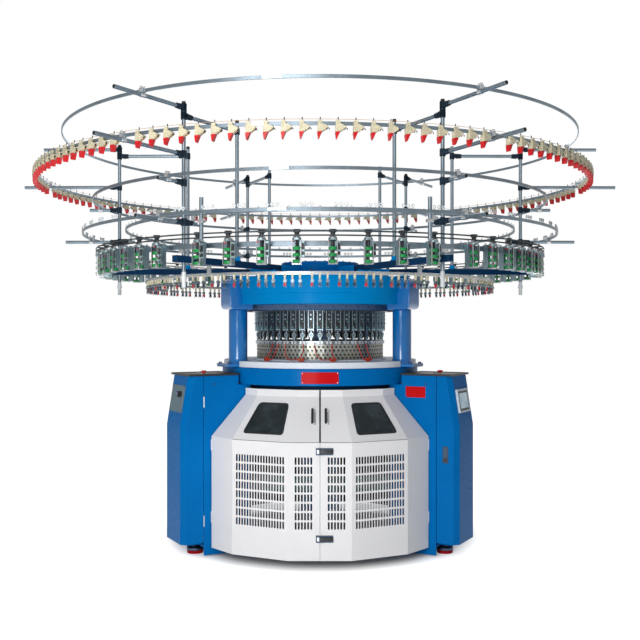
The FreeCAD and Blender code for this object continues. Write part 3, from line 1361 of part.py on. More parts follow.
make_creel_rings()
make_posts()
make_arms()
make_clamps()
make_detectors()
make_lower_detectors()
make_feeders()
make_crown()
make_columns()
make_head()
make_table()
for leg_name, leg_angle, leg_closed in zip(("leg_left", "leg_right", "leg_rear"), LEG_ANGLES, (False, False, True)):
    make_leg(leg_name, leg_angle, leg_closed)
make_feet()
for side_name, side_angle in (("left", LEG_ANGLES[0]), ("right", LEG_ANGLES[1])):
    make_cabinet_cover(f"cabinet_cover_{side_name}", side_angle)
    make_cabinet_top(f"cabinet_top_{side_name}", side_angle)
    make_stop_button(f"stop_button_{side_name}", side_angle)
make_doors()
make_latches()
make_rear_guards()
make_hinges()
make_rotor()
make_cabinet_insides()
make_controls()
finish()
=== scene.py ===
# %% [markdown]
# # A large circular knitting machine
# The solids of the machine come packed as a fixed frame: each named node sits where the real piece sits.
# This lesson dresses that frame: it rounds what was drawn with flats, opens the perforated sheets, and
# gives every surface its own finish. Sizes are real millimetres and are turned into metres once, when a
# mesh is made.

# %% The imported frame
import json
import math

import bmesh
import bpy
from mathutils import Matrix, Vector
from mathutils.geometry import delaunay_2d_cdt

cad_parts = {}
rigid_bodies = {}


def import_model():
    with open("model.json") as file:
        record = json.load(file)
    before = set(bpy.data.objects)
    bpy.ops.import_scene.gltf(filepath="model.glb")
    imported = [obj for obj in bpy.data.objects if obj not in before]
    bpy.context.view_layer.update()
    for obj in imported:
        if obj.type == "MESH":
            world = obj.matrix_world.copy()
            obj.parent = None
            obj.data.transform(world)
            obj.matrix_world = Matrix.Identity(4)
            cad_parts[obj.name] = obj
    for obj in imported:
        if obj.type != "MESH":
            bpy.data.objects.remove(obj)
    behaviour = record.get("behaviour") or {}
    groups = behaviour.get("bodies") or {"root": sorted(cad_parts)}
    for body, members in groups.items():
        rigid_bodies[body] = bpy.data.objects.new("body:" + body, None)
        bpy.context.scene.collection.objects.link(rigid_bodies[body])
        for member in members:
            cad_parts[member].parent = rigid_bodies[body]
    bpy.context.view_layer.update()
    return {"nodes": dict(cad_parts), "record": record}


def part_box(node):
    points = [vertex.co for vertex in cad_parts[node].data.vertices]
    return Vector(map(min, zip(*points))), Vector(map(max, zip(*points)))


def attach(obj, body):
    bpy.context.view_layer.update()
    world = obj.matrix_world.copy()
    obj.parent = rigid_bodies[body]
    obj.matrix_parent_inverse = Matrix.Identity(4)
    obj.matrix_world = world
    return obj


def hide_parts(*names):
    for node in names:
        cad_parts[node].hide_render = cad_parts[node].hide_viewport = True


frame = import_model()
MM = 0.001

# %% [markdown]
# ## Shader maths that reads like maths
# A finish is a small sum of noises. Wrapping a socket in a class lets `speck * 0.1 + 0.3` add the Math
# nodes by itself, so a finish reads as its formula. Any other node comes from one method.


# %% Signals and finishes
class Signal:
    """One output of a shader node. Sums and products of signals add Math nodes."""

    def __init__(self, finish, socket):
        self.finish, self.socket = finish, socket

    def maths(self, operation, first, second):
        return self.finish.node("ShaderNodeMath", {"operation": operation}, {0: first, 1: second})

    def __add__(self, other):
        return self.maths("ADD", self, other)

    __radd__ = __add__

    def __mul__(self, other):
        return self.maths("MULTIPLY", self, other)

    __rmul__ = __mul__


class Finish:
    """A material under construction, with its nodes made by one method."""

    def __init__(self, name):
        self.material = bpy.data.materials.new(name)
        self.material.use_nodes = True
        self.tree = self.material.node_tree
        self.tree.nodes.clear()
        self.place = self.node("ShaderNodeTexCoord", out="Object")

    def node(self, kind, settings=None, sockets=None, out=0):
        made = self.tree.nodes.new(kind)
        for name, value in (settings or {}).items():
            setattr(made, name, value)
        for name, value in (sockets or {}).items():
            if isinstance(value, Signal):
                self.tree.links.new(value.socket, made.inputs[name])
            else:
                made.inputs[name].default_value = value
        return Signal(self, made.outputs[out])

    def noise(self, scale, detail=2.0, stretch=(1, 1, 1)):
        """Soft noise about 0.5, with `scale` waves to the metre, stretched along an axis if asked."""
        spot = self.node("ShaderNodeMapping", {}, {"Vector": self.place, "Scale": stretch})
        return self.node("ShaderNodeTexNoise", {}, {"Vector": spot, "Scale": scale, "Detail": detail})

    def band(self, signal, low, high):
        """0 below low, 1 above high, smooth between."""
        return self.node("ShaderNodeMapRange", {"interpolation_type": "SMOOTHSTEP"},
                         {"Value": signal, "From Min": low, "From Max": high})

    def blend(self, factor, first, second):
        mixed = self.tree.nodes.new("ShaderNodeMix")
        mixed.data_type = "RGBA"
        for number, value in ((0, factor), (6, first), (7, second)):
            socket = mixed.inputs[number]
            if isinstance(value, Signal):
                self.tree.links.new(value.socket, socket)
            else:
                socket.default_value = value if isinstance(value, float) else (*value, 1.0)
        return Signal(self, mixed.outputs[2])

    def bump(self, height, distance, strength=0.4):
        return self.node("ShaderNodeBump", {},
                         {"Height": height, "Distance": distance, "Strength": strength})

    def axis(self, number):
        """One Object coordinate: 0, 1 or 2 for X, Y or Z."""
        return self.node("ShaderNodeSeparateXYZ", {}, {"Vector": self.place}, number)

    def turn(self):
        """The angle about the machine's axis, in radians."""
        return self.node("ShaderNodeMath", {"operation": "ARCTAN2"}, {0: self.axis(1), 1: self.axis(0)})

    def wave(self, signal):
        return self.node("ShaderNodeMath", {"operation": "SINE"}, {0: signal})

    def seen(self):
        """1 for what the camera sees, straight, mirrored or through glass, and 0 for what lights the rest."""
        straight = self.node("ShaderNodeLightPath", out="Is Camera Ray")
        mirrored = self.node("ShaderNodeLightPath", out="Is Glossy Ray")
        through = self.node("ShaderNodeLightPath", out="Is Transmission Ray")
        return straight.maths("MAXIMUM", straight.maths("MAXIMUM", straight, mirrored), through)

    def done(self, **sockets):
        """The surface shader: keys are its sockets with underscores for spaces."""
        named = {name.replace("_", " "): value for name, value in sockets.items()}
        shader = self.node("ShaderNodeBsdfPrincipled", {}, named)
        output = self.tree.nodes.new("ShaderNodeOutputMaterial")
        self.tree.links.new(shader.socket, output.inputs["Surface"])
        return self.material


def linear(red, green, blue):
    """A screen colour of 0 to 255 as the linear colour that the shader takes."""
    return tuple((c / 255 / 12.92) if c / 255 <= 0.04045 else ((c / 255 + 0.055) / 1.055) ** 2.4
                 for c in (red, green, blue))


def shade(colour, share):
    return tuple(c * share for c in colour)


# %% [markdown]
# ## Paint
# The frame is sprayed in blue and the guard in an off-white. Sprayed paint isn't flat: it has a faint
# orange peel, slightly drier patches, and a little dust. The peel goes to the bump, the patches to
# roughness and colour. A low index of refraction keeps a grazing view from turning the blue pale, and
# only the columns and sockets, which are glossier, get a real clear coat.


# %% Paints
def sprayed(name, colour, rough=0.28, peel=0.00012, patch=0.06, ior=1.1, coat=0.03):
    paint = Finish(name)
    broad, fine, dust = paint.noise(2.5, 3.0), paint.noise(260.0), paint.noise(38.0, 4.0)
    tint = paint.blend(paint.band(broad, 0.35, 0.7), shade(colour, 1.0 - patch),
                       shade(colour, 1.0 + patch * 0.6))
    tint = paint.blend(paint.band(dust, 0.62, 0.86) * 0.10, tint, shade(colour, 0.8))
    return paint.done(Base_Color=tint, Roughness=broad * 0.10 + dust * 0.06 + (rough - 0.08),
                      Coat_Weight=coat, Coat_Roughness=0.12, IOR=ior, Normal=paint.bump(fine, peel, 0.25))


BLUE = sprayed("blue_enamel", linear(0, 111, 185))
GLOSS_BLUE = sprayed("glossy_blue_enamel", linear(0, 114, 190), 0.18, ior=1.5, coat=0.5)
NAVY = sprayed("navy_enamel", linear(16, 56, 92), 0.36)
WHITE = sprayed("off_white_enamel", linear(240, 239, 240), 0.34, patch=0.02)
PALE = sprayed("pale_grey_enamel", linear(232, 238, 246), 0.34, patch=0.03)
# Painted shade: a dark grey for the guard's inner faces and cut edges, standing for the dim inside of the
# machine.
INNER_SHADE = sprayed("painted_inner_shade", linear(50, 54, 58), 0.5)
RED = sprayed("red_enamel", linear(176, 20, 30), 0.3)
TEAL = sprayed("teal_enamel", linear(120, 168, 170), 0.35)
SIGN_RED = sprayed("plate_red_enamel", linear(205, 22, 28), 0.3, patch=0.02)
PLATE_GREY = sprayed("plate_grey_enamel", linear(120, 140, 150), 0.4, patch=0.05)
CAST_DARK = sprayed("dark_cast_enamel", linear(44, 60, 74), 0.38, patch=0.1)

# %% [markdown]
# ## Metals
# Tubes are galvanised: a cold grey with broad spangles. Machined steel has fine turning lines and a thin
# film of oil that darkens it in patches. Both are fully metallic, so the studio light does most of the
# work.


# %% Metals
def bare_metal(name, colour, rough, scale=60.0, stretch=(1, 1, 1), oil=0.2):
    metal = Finish(name)
    grain, cloud = metal.noise(scale, 3.0, stretch), metal.noise(9.0, 3.0)
    tint = metal.blend(metal.band(cloud, 0.4, 0.75), colour, shade(colour, 1.0 - oil))
    return metal.done(Base_Color=tint, Metallic=1.0, Roughness=grain * 0.16 + cloud * 0.08 + (rough - 0.12),
                      Normal=metal.bump(grain, 0.00015, 0.2))


ZINC = bare_metal("galvanised_steel", linear(140, 154, 164), 0.36, 45.0)
STEEL = bare_metal("machined_steel", linear(136, 146, 152), 0.34, 220.0, (1, 1, 6), 0.3)
BRIGHT = bare_metal("bright_steel", linear(214, 216, 218), 0.22, 120.0, oil=0.1)
ALLOY = bare_metal("cast_alloy", linear(196, 200, 204), 0.42, 300.0, oil=0.12)
DARK_STEEL = bare_metal("blued_steel", linear(72, 86, 104), 0.38, 160.0, oil=0.3)
CAM_STEEL = bare_metal("ground_cam_steel", linear(156, 160, 156), 0.42, 220.0, (1, 1, 6), 0.3)
CARRIER_STEEL = bare_metal("carrier_steel", linear(156, 178, 190), 0.36, 160.0, oil=0.25)
FEEDER_GREY = bare_metal("feeder_casting", linear(148, 168, 174), 0.42, 300.0, oil=0.2)
BRASS = bare_metal("brass", linear(196, 176, 84), 0.3, 200.0)


# %% Plastics, rubber and glass
def moulded(name, colour, rough=0.4, grain=0.0001, vary=0.08):
    plastic = Finish(name)
    fine, broad = plastic.noise(700.0), plastic.noise(20.0, 3.0)
    tint = plastic.blend(plastic.band(broad, 0.35, 0.7), shade(colour, 1.0 - vary),
                         shade(colour, 1.0 + vary))
    return plastic.done(Base_Color=tint, Roughness=fine * 0.1 + (rough - 0.05),
                        Normal=plastic.bump(fine, grain, 0.3))


BLACK = moulded("black_plastic", linear(24, 27, 30), 0.42)
RUBBER = moulded("black_rubber", linear(20, 21, 23), 0.6)
BELT = moulded("ribbed_belt", linear(38, 48, 52), 0.55)
CREAM = moulded("cream_plastic", linear(226, 216, 184), 0.38)
FLAP_RED = moulded("signal_red_plastic", linear(222, 18, 24), 0.3)
GREEN = moulded("green_plastic", linear(30, 150, 78), 0.28)
SHADOW = moulded("shadowed_recess", linear(16, 17, 18), 0.8)
CERAMIC = moulded("white_ceramic", linear(226, 230, 232), 0.18)
HOSE_RED = moulded("red_hose", linear(214, 44, 40), 0.35)
ORANGE = moulded("orange_connector", linear(214, 66, 22), 0.35)
SCREEN_WHITE = moulded("pale_screen_frame", linear(206, 220, 232), 0.35)


def smoked_glass():
    glass = Finish("smoked_glass")
    smear = glass.noise(7.0, 3.0)
    tint = glass.blend(glass.band(smear, 0.4, 0.75), linear(24, 36, 40), linear(52, 66, 72))
    return glass.done(Base_Color=tint, Roughness=smear * 0.08 + 0.02, Specular_IOR_Level=0.3)


def display():
    """A powered screen: a pale field, a little uneven, that gives off a touch of light."""
    lit = Finish("lit_display")
    cloud = lit.noise(14.0, 1.0)
    tint = lit.blend(lit.band(cloud, 0.3, 0.7), linear(150, 186, 204), linear(196, 214, 222))
    return lit.done(Base_Color=tint, Roughness=0.12, Emission_Color=tint, Emission_Strength=0.25)


GLASS, DISPLAY = smoked_glass(), display()
print("finishes:", len(bpy.data.materials))

# %% [markdown]
# ## The bench: meshes drawn in millimetres
# Each helper adds one simple form to a bmesh. A form is drawn either in the machine's own frame, or in
# a radial frame whose +X points outward at an angle from the front (positive to the right), as the real
# machine was set out. Bevels and smooth shading come last, so an edge always has a small radius.


# %% Drawing helpers
FACE_OUT = Matrix.Rotation(math.pi / 2, 4, "Y")


def outward(angle):
    """The radial frame at an angle: its +X points away from the machine's axis."""
    return Matrix.Rotation(math.radians(angle - 90), 4, "Z")


def at(out, side, height):
    """A shift in the frame that it follows."""
    return Matrix.Translation((out, side, height))


def circle(radius, sides):
    turns = (2 * math.pi * i / sides for i in range(sides))
    return [(radius * math.cos(turn), radius * math.sin(turn)) for turn in turns]


def span(node):
    """A CAD node's lowest and highest corner, in millimetres."""
    low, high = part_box(node)
    return low / MM, high / MM


def add_block(bm, low, high, place=Matrix()):
    corners = [(x, y, z) for x in (low[0], high[0]) for y in (low[1], high[1]) for z in (low[2], high[2])]
    made = [bm.verts.new(place @ Vector(c)) for c in corners]
    for face in ((0, 1, 3, 2), (4, 6, 7, 5), (0, 4, 5, 1), (2, 3, 7, 6), (0, 2, 6, 4), (1, 5, 7, 3)):
        bm.faces.new([made[i] for i in face])


def join_rows(bm, rows, capped=False):
    """Faces from each row of corners to the next: on round to the first row, or with both ends capped."""
    for near, far in zip(rows, rows[1:] if capped else rows[1:] + rows[:1]):
        for i in range(len(near)):
            j = (i + 1) % len(near)
            corners = list(dict.fromkeys([near[i], near[j], far[j], far[i]]))
            if len(corners) > 2:
                bm.faces.new(corners)
    if capped:
        bm.faces.new(rows[0][::-1])
        bm.faces.new(rows[-1])


def round_row(bm, spot, turn, radius, sides):
    """A round section at a point, turned to face the way that its tube runs."""
    return [bm.verts.new(spot + turn @ Vector((x, y, 0))) for x, y in circle(radius, sides)]


def add_drum(bm, start, end, radius, tip=None, sides=20, place=Matrix()):
    """A cylinder, or a cone if its tip has another radius, from one point to another."""
    start, end = place @ Vector(start), place @ Vector(end)
    turn = (end - start).to_track_quat("Z", "Y").to_matrix()
    ends = (start, radius), (end, radius if tip is None else tip)
    join_rows(bm, [round_row(bm, spot, turn, wide, sides) for spot, wide in ends], capped=True)


def add_turned(bm, outline, sides=192, place=Matrix()):
    """A closed (radius, height) outline turned about Z. Points on the axis close into a pole."""
    rows = []
    for radius, height in outline:
        if radius < 1e-6:
            rows.append([bm.verts.new(place @ Vector((0, 0, height)))] * sides)
        else:
            rows.append([bm.verts.new(place @ Vector((x, y, height))) for x, y in circle(radius, sides)])
    join_rows(bm, rows)


def add_plate(bm, outline, near, far, place=Matrix(), plane="YZ"):
    """A flat outline given thickness: in the radial frame's YZ plane it runs from near to far along X."""
    spots = {"YZ": lambda a, b, level: (level, a, b), "XZ": lambda a, b, level: (a, level, b),
             "XY": lambda a, b, level: (a, b, level)}
    join_rows(bm, [[bm.verts.new(place @ Vector(spots[plane](a, b, level))) for a, b in outline]
                   for level in (near, far)], capped=True)


def add_loop(bm, radius, wire, place=Matrix(), sides=20, tube=8):
    """A closed ring of wire about the place's Z."""
    add_turned(bm, [(radius + across, up) for across, up in circle(wire, tube)], sides, place)


def rounded(half_wide, half_tall, radius):
    """A rectangle's outline with round corners."""
    points, steps = [], 5
    for quarter, (sx, sz) in enumerate(((1, 1), (-1, 1), (-1, -1), (1, -1))):
        for step in range(steps + 1):
            turn = math.radians(90 * quarter + 90 * step / steps)
            points.append((sx * (half_wide - radius) + radius * math.cos(turn),
                           sz * (half_tall - radius) + radius * math.sin(turn)))
    return points


def bolt_head(bm, place, radius=6.0, tall=4.0):
    """A socket screw's head standing along the place's Z, with its socket sunk in."""
    outline = [(0, 0), (radius, 0), (radius, tall * 0.85), (radius * 0.88, tall), (radius * 0.5, tall),
               (radius * 0.45, tall * 0.4), (0, tall * 0.4)]
    add_turned(bm, outline, 14, place=place)


# %% [markdown]
# ## From bmesh to a finished piece
# A piece gets clean normals, sharp edges marked by angle, a live Bevel modifier, its finish and the CAD
# body that it rides on, and the CAD nodes that it stands for are hidden.


# %% Making a piece
SLOTS = {row["node"]: row["material_slot"] for row in frame["record"]["subparts"]}


def placed(name, data):
    """A new object at the origin, in the scene."""
    thing = bpy.data.objects.new(name, data)
    bpy.context.scene.collection.objects.link(thing)
    return thing


def settle(thing, body, finish, replaces=(), slot=None):
    thing.data.materials.clear()
    thing.data.materials.append(finish)
    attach(thing, body)
    if replaces:
        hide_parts(*replaces)
        slot = slot or SLOTS[replaces[0]]
    return thing


EDGE_ANGLE = math.radians(32.0)


def smooth_by_angle(bm):
    bmesh.ops.remove_doubles(bm, verts=bm.verts, dist=0.0005)
    bmesh.ops.recalc_face_normals(bm, faces=bm.faces)
    for face in bm.faces:
        face.smooth = True
    for edge in bm.edges:
        edge.smooth = len(edge.link_faces) == 2 and edge.calc_face_angle(0) < EDGE_ANGLE


def to_object(name, bm):
    """A bmesh drawn in millimetres becomes an object in metres, at the origin."""
    bmesh.ops.scale(bm, vec=(MM, MM, MM), verts=bm.verts)
    mesh = bpy.data.meshes.new(name)
    bm.to_mesh(mesh)
    bm.free()
    return placed(name, mesh)


def bevelled(thing, width, segments):
    if width:
        edge = thing.modifiers.new("edge radius", "BEVEL")
        edge.width, edge.segments, edge.limit_method = width * MM, segments, "ANGLE"
        edge.angle_limit, edge.harden_normals = EDGE_ANGLE, True
    return thing


def piece(name, body, finish, draw, replaces=(), bevel=0.0, segments=2, slot=None):
    bm = bmesh.new()
    draw(bm)
    smooth_by_angle(bm)
    return settle(bevelled(to_object(name, bm), bevel, segments), body, finish, replaces, slot)


def applied(thing):
    """The object's mesh with its modifiers worked in, and the object itself thrown away."""
    bpy.context.view_layer.update()
    evaluated = thing.evaluated_get(bpy.context.evaluated_depsgraph_get())
    mesh = bpy.data.meshes.new_from_object(evaluated)
    bpy.data.objects.remove(thing)
    return mesh


def dressed_copy(name, node, body, finish, bevel=1.5, segments=2, flat=0.8):
    """A CAD node whose shape is right, merged into clean flat faces so that its edges can be rounded."""
    bm = bmesh.new()
    bm.from_mesh(frame["nodes"][node].data)
    bmesh.ops.scale(bm, vec=(1 / MM,) * 3, verts=bm.verts)
    bmesh.ops.remove_doubles(bm, verts=bm.verts, dist=0.01)
    bmesh.ops.dissolve_limit(bm, angle_limit=math.radians(flat), verts=bm.verts, edges=bm.edges)
    smooth_by_angle(bm)
    return settle(bevelled(to_object(name, bm), bevel, segments), body, finish, (node,))


# %% [markdown]
# ## Geometry Nodes: one piece, many turns
# Nearly everything on this machine repeats round its axis: feeders, detectors, carriers, screws. One small
# tree does it. Its input is a cloud of points that each carry a turn. The tree stands a copy of the drawn
# piece at each, turned about the axis, realises the copies and gives them their finish. The piece is
# drawn where the first one stands, so the tree only has to turn it.


# %% The tree that sets a piece round the axis
def tree_node(tree, kind, settings=None, inputs=None):
    made = tree.nodes.new(kind)
    for name, value in (settings or {}).items():
        setattr(made, name, value)
    for name, value in (inputs or {}).items():
        if isinstance(value, bpy.types.NodeSocket):
            tree.links.new(value, made.inputs[name])
        else:
            made.inputs[name].default_value = value
    return made


def round_axis_tree():
    tree = bpy.data.node_groups.new("Set round the axis", "GeometryNodeTree")
    face = tree.interface
    face.new_socket("Turns", in_out="INPUT", socket_type="NodeSocketGeometry")
    face.new_socket("Piece", in_out="INPUT", socket_type="NodeSocketObject")
    face.new_socket("Finish", in_out="INPUT", socket_type="NodeSocketMaterial")
    face.new_socket("Geometry", in_out="OUTPUT", socket_type="NodeSocketGeometry")
    given = tree_node(tree, "NodeGroupInput")
    turn = tree_node(tree, "GeometryNodeInputNamedAttribute", {"data_type": "FLOAT"}, {"Name": "turn"})
    spin = tree_node(tree, "FunctionNodeAxisAngleToRotation", {},
                     {"Axis": (0.0, 0.0, 1.0), "Angle": turn.outputs[0]})
    shape = tree_node(tree, "GeometryNodeObjectInfo", {}, {"Object": given.outputs["Piece"]})
    copies = tree_node(tree, "GeometryNodeInstanceOnPoints", {},
                       {"Points": given.outputs["Turns"], "Instance": shape.outputs["Geometry"],
                        "Rotation": spin.outputs[0]})
    solid = tree_node(tree, "GeometryNodeRealizeInstances", {}, {"Geometry": copies.outputs[0]})
    painted = tree_node(tree, "GeometryNodeSetMaterial", {},
                        {"Geometry": solid.outputs[0], "Material": given.outputs["Finish"]})
    tree_node(tree, "NodeGroupOutput", {}, {"Geometry": painted.outputs[0]})
    return tree


ROUND_AXIS = round_axis_tree()


def input_id(tree, name):
    return next(item.identifier for item in tree.interface.items_tree
                if item.name == name and getattr(item, "in_out", "") == "INPUT")


def round_axis(name, finish, draw, angles, replaces=(), bevel=0.0, segments=1, slot=None, middle=Matrix()):
    """A piece drawn in the radial frame, set at each angle from the front about a middle."""
    bm = bmesh.new()
    draw(bm)
    smooth_by_angle(bm)
    single = placed(name + "_single", applied(bevelled(to_object(name + "_drawn", bm), bevel, segments)))
    turns = bpy.data.meshes.new(name + "_turns")
    turns.from_pydata([middle.translation * MM] * len(angles), [], [])
    turns.attributes.new("turn", "FLOAT", "POINT").data.foreach_set(
        "value", [math.radians(angle - 90) for angle in angles])
    holder = placed(name + "_turns", turns)
    repeat = holder.modifiers.new("round the axis", "NODES")
    repeat.node_group = ROUND_AXIS
    repeat[input_id(ROUND_AXIS, "Piece")] = single
    repeat[input_id(ROUND_AXIS, "Finish")] = finish
    whole = applied(holder)
    bpy.data.objects.remove(single)
    return settle(placed(name, whole), "frame", finish, replaces, slot)


# %% [markdown]
# ## The setting-out
# Forty-eight knitting stations stand round the cylinder. Three legs and columns stand at 60, 180 and 300
# degrees from the front, and six pairs of creel posts on the radial beams.

# %% Angles and rings
STATIONS = [7.5 * index for index in range(48)]
LEGS = (-60.0, 60.0, 180.0)
POSTS = (-33.2, 29.2, -91.0, 91.0, -154.3, 149.3)
TUBE = 12.5
OUTER_POST, INNER_POST = 1509.0, 993.0
FLAT = math.cos(math.radians(3.75))


def near_post(angle, clear):
    return min(abs((angle - post + 180) % 360 - 180) for post in POSTS) < clear


def clear_of_beams(angles):
    """Leaves out what would stand at the end of a radial beam."""
    return [angle for angle in angles if not near_post(angle, math.degrees(51.5 / 1590))]


FEEDERS = clear_of_beams([-26.6 + 7.3 * index for index in range(8)]
                         + [35.2 + 6.1 * index for index in range(48)])


# %% [markdown]
# ## Creel rings
# Each ring on the real creel is a rolled flat bar, joined by short splice plates. The CAD rings are drawn
# with flats, so each is turned again as a true circle with the same section.


# %% Rolled rings
def flat_bar(node, share=1.0):
    """A rolled ring's section. The share is how near the solid's flats come to its true radius."""
    low, high = span(node)
    outer = high.y / share
    return [(outer - 8, low.z), (outer, low.z), (outer, high.z), (outer - 8, high.z)]


RING_NODES = ("top_ring", "detector_ring", "middle_ring", "eyelet_ring", "inner_ring")
DETECTOR_SHIFT = at(-48, 0, 0)


def ring_place(ring_node):
    return DETECTOR_SHIFT if ring_node == "detector_ring" else Matrix()


for ring_node in RING_NODES:
    piece(ring_node + "_bar", "frame", ZINC,
          lambda bm: add_turned(bm, flat_bar(ring_node), place=ring_place(ring_node)), (ring_node,), 1.6)
piece("lower_detector_ring_bar", "frame", BRIGHT,
      lambda bm: add_turned(bm, flat_bar("lower_detector_ring", FLAT)), ("lower_detector_ring",), 1.6)


def draw_splices(bm):
    """Two bolted plates bridge each joint in a ring."""
    for ring_node in RING_NODES:
        low, high = span(ring_node)
        for angle in (-8.0, 120.0, 232.0):
            place = ring_place(ring_node) @ outward(angle)
            add_block(bm, (high.y - 1, -55, low.z + 2), (high.y + 4, 55, high.z - 2), place)
            for side in (-42, -16, 16, 42):
                bolt_head(bm, place @ at(high.y + 4, side, (low.z + high.z) / 2) @ FACE_OUT, 5, 3)


piece("ring_splices", "frame", BRIGHT, draw_splices, bevel=0.8, slot="galvanised_tube")
print("rings:", len(RING_NODES) + 1)

# %% [markdown]
# ## Posts, arms and clamps
# The posts and arms are drawn tube, open at the end, and each open end shows a dark disc of painted
# shade. At a post the arm sits in a dark cast clamp: a collar round the post, a socket round the arm and
# a pinch bolt. Where a ring lies on an arm there is a small bright saddle with two bolts.

# %% Tubes
ARM_RINGS = {"top_ring": 2080, "detector_ring": 2225, "middle_ring": 1733, "eyelet_ring": 1915}
ARM_START = OUTER_POST + TUBE + 0.3 + 34
TIE_HEIGHT = 2843.0
ARM_HEIGHT = {ring_node: span(ring_node)[0].z - TUBE - 0.3 for ring_node in ARM_RINGS}
OUTER_LOW, OUTER_TOP = span("outer_posts")[0].z, span("outer_posts")[1].z
INNER_LOW, INNER_TOP = span("inner_posts")[0].z, span("inner_posts")[1].z


def draw_outer_posts(bm):
    for angle in POSTS:
        add_drum(bm, (OUTER_POST, 0, OUTER_LOW), (OUTER_POST, 0, OUTER_TOP), TUBE, place=outward(angle))


def draw_inner_posts(bm):
    for angle in POSTS:
        add_drum(bm, (INNER_POST, 0, INNER_LOW), (INNER_POST, 0, INNER_TOP), TUBE, place=outward(angle))


def arm_runs():
    """Start radius, end radius and height of each level tube at a post."""
    runs = [(ARM_START, end, ARM_HEIGHT[name]) for name, end in ARM_RINGS.items()]
    runs.append((INNER_POST + TUBE + 34.3, OUTER_POST - TUBE - 34.3, TIE_HEIGHT))
    runs.append((1395.0, OUTER_POST - TUBE - 34.3, ARM_HEIGHT["eyelet_ring"]))
    return runs


def draw_arms(bm):
    for angle in POSTS:
        for start, end, height in arm_runs():
            add_drum(bm, (start, 0, height), (end, 0, height), TUBE, place=outward(angle))


def draw_tube_bores(bm):
    """Painted shade: the shaded bore at each arm's open end, as a dark disc that stands just proud of the
    tube.
    """
    for angle in POSTS:
        for _, end, height in arm_runs()[:4]:
            add_drum(bm, (end - 4, 0, height), (end + 0.3, 0, height), TUBE - 2.2, place=outward(angle))


def draw_post_caps(bm):
    for angle in POSTS:
        for radius, top in ((OUTER_POST, OUTER_TOP), (INNER_POST, INNER_TOP)):
            add_drum(bm, (radius, 0, top - 22), (radius, 0, top), TUBE + 0.6, place=outward(angle))


def draw_post_sleeves(bm):
    """The pale sleeve and collar on the foot of each outer post."""
    for angle in POSTS:
        place = outward(angle)
        for low, high, over in ((0, 96, 0.8), (52, 70, 5)):
            start, end = (OUTER_POST, 0, OUTER_LOW + low), (OUTER_POST, 0, OUTER_LOW + high)
            add_drum(bm, start, end, TUBE + over, place=place)


piece("outer_post_tubes", "frame", ZINC, draw_outer_posts, ("outer_posts",), 0.8)
piece("inner_post_tubes", "frame", ZINC, draw_inner_posts, ("inner_posts",), 0.8)
piece("creel_arm_tubes", "frame", ZINC, draw_arms, ("creel_arms",), 0.8)
# Painted shade: a dark disc in each arm's open end stands for the shade inside the tube.
piece("tube_bores", "frame", SHADOW, draw_tube_bores, slot="black_plastic")
piece("post_end_caps", "frame", BLACK, draw_post_caps, bevel=1.5, slot="black_plastic")
piece("post_sleeves", "frame", CERAMIC, draw_post_sleeves, bevel=1.0, slot="cream_plastic")


# %% Clamps
def draw_collar(bm, place, radius, low, high):
    """The part of a casting that goes round its post."""
    wall = [(TUBE + 0.2, low), (TUBE + 4, low), (TUBE + 6, low + 3), (TUBE + 6, high - 3), (TUBE + 4, high),
            (TUBE + 0.2, high)]
    add_turned(bm, wall, 24, place=place @ at(radius, 0, 0))


def draw_post_clamp(bm, place, radius, height, way):
    """A cast clamp: way is +1 where the arm leaves outward and -1 where it comes in."""
    near = radius + way * (TUBE + 0.3)
    far = near + way * 34
    draw_collar(bm, place, radius, height - 23, height + 23)
    add_block(bm, (min(near, far), -13, height - 13), (max(near, far), 13, height + 13), place)
    add_drum(bm, (far - way * 16, 0, height), (far + way * 22, 0, height), TUBE + 6.5, TUBE + 4, place=place)
    for side in (-8, 8):
        bolt_head(bm, place @ at(near + way * 12, side, height + 13), 4.5, 5)


def draw_dark_clamps(bm):
    for angle in POSTS:
        place = outward(angle)
        for height in ARM_HEIGHT.values():
            draw_post_clamp(bm, place, OUTER_POST, height, 1)
        draw_post_clamp(bm, place, OUTER_POST, TIE_HEIGHT, -1)
        draw_collar(bm, place, OUTER_POST, TIE_HEIGHT - 24, ARM_HEIGHT["top_ring"] + 24)
        draw_post_clamp(bm, place, INNER_POST, TIE_HEIGHT, 1)
        draw_post_clamp(bm, place, OUTER_POST, ARM_HEIGHT["eyelet_ring"], -1)


def crossing(ring_node, angle, radius):
    """How far out an arm at this angle meets a ring. The detector ring stands a little to the left."""
    if ring_node != "detector_ring":
        return radius
    across = DETECTOR_SHIFT.translation.x
    along = math.sin(math.radians(angle)) * across
    return along + math.sqrt(along ** 2 - across ** 2 + radius ** 2)


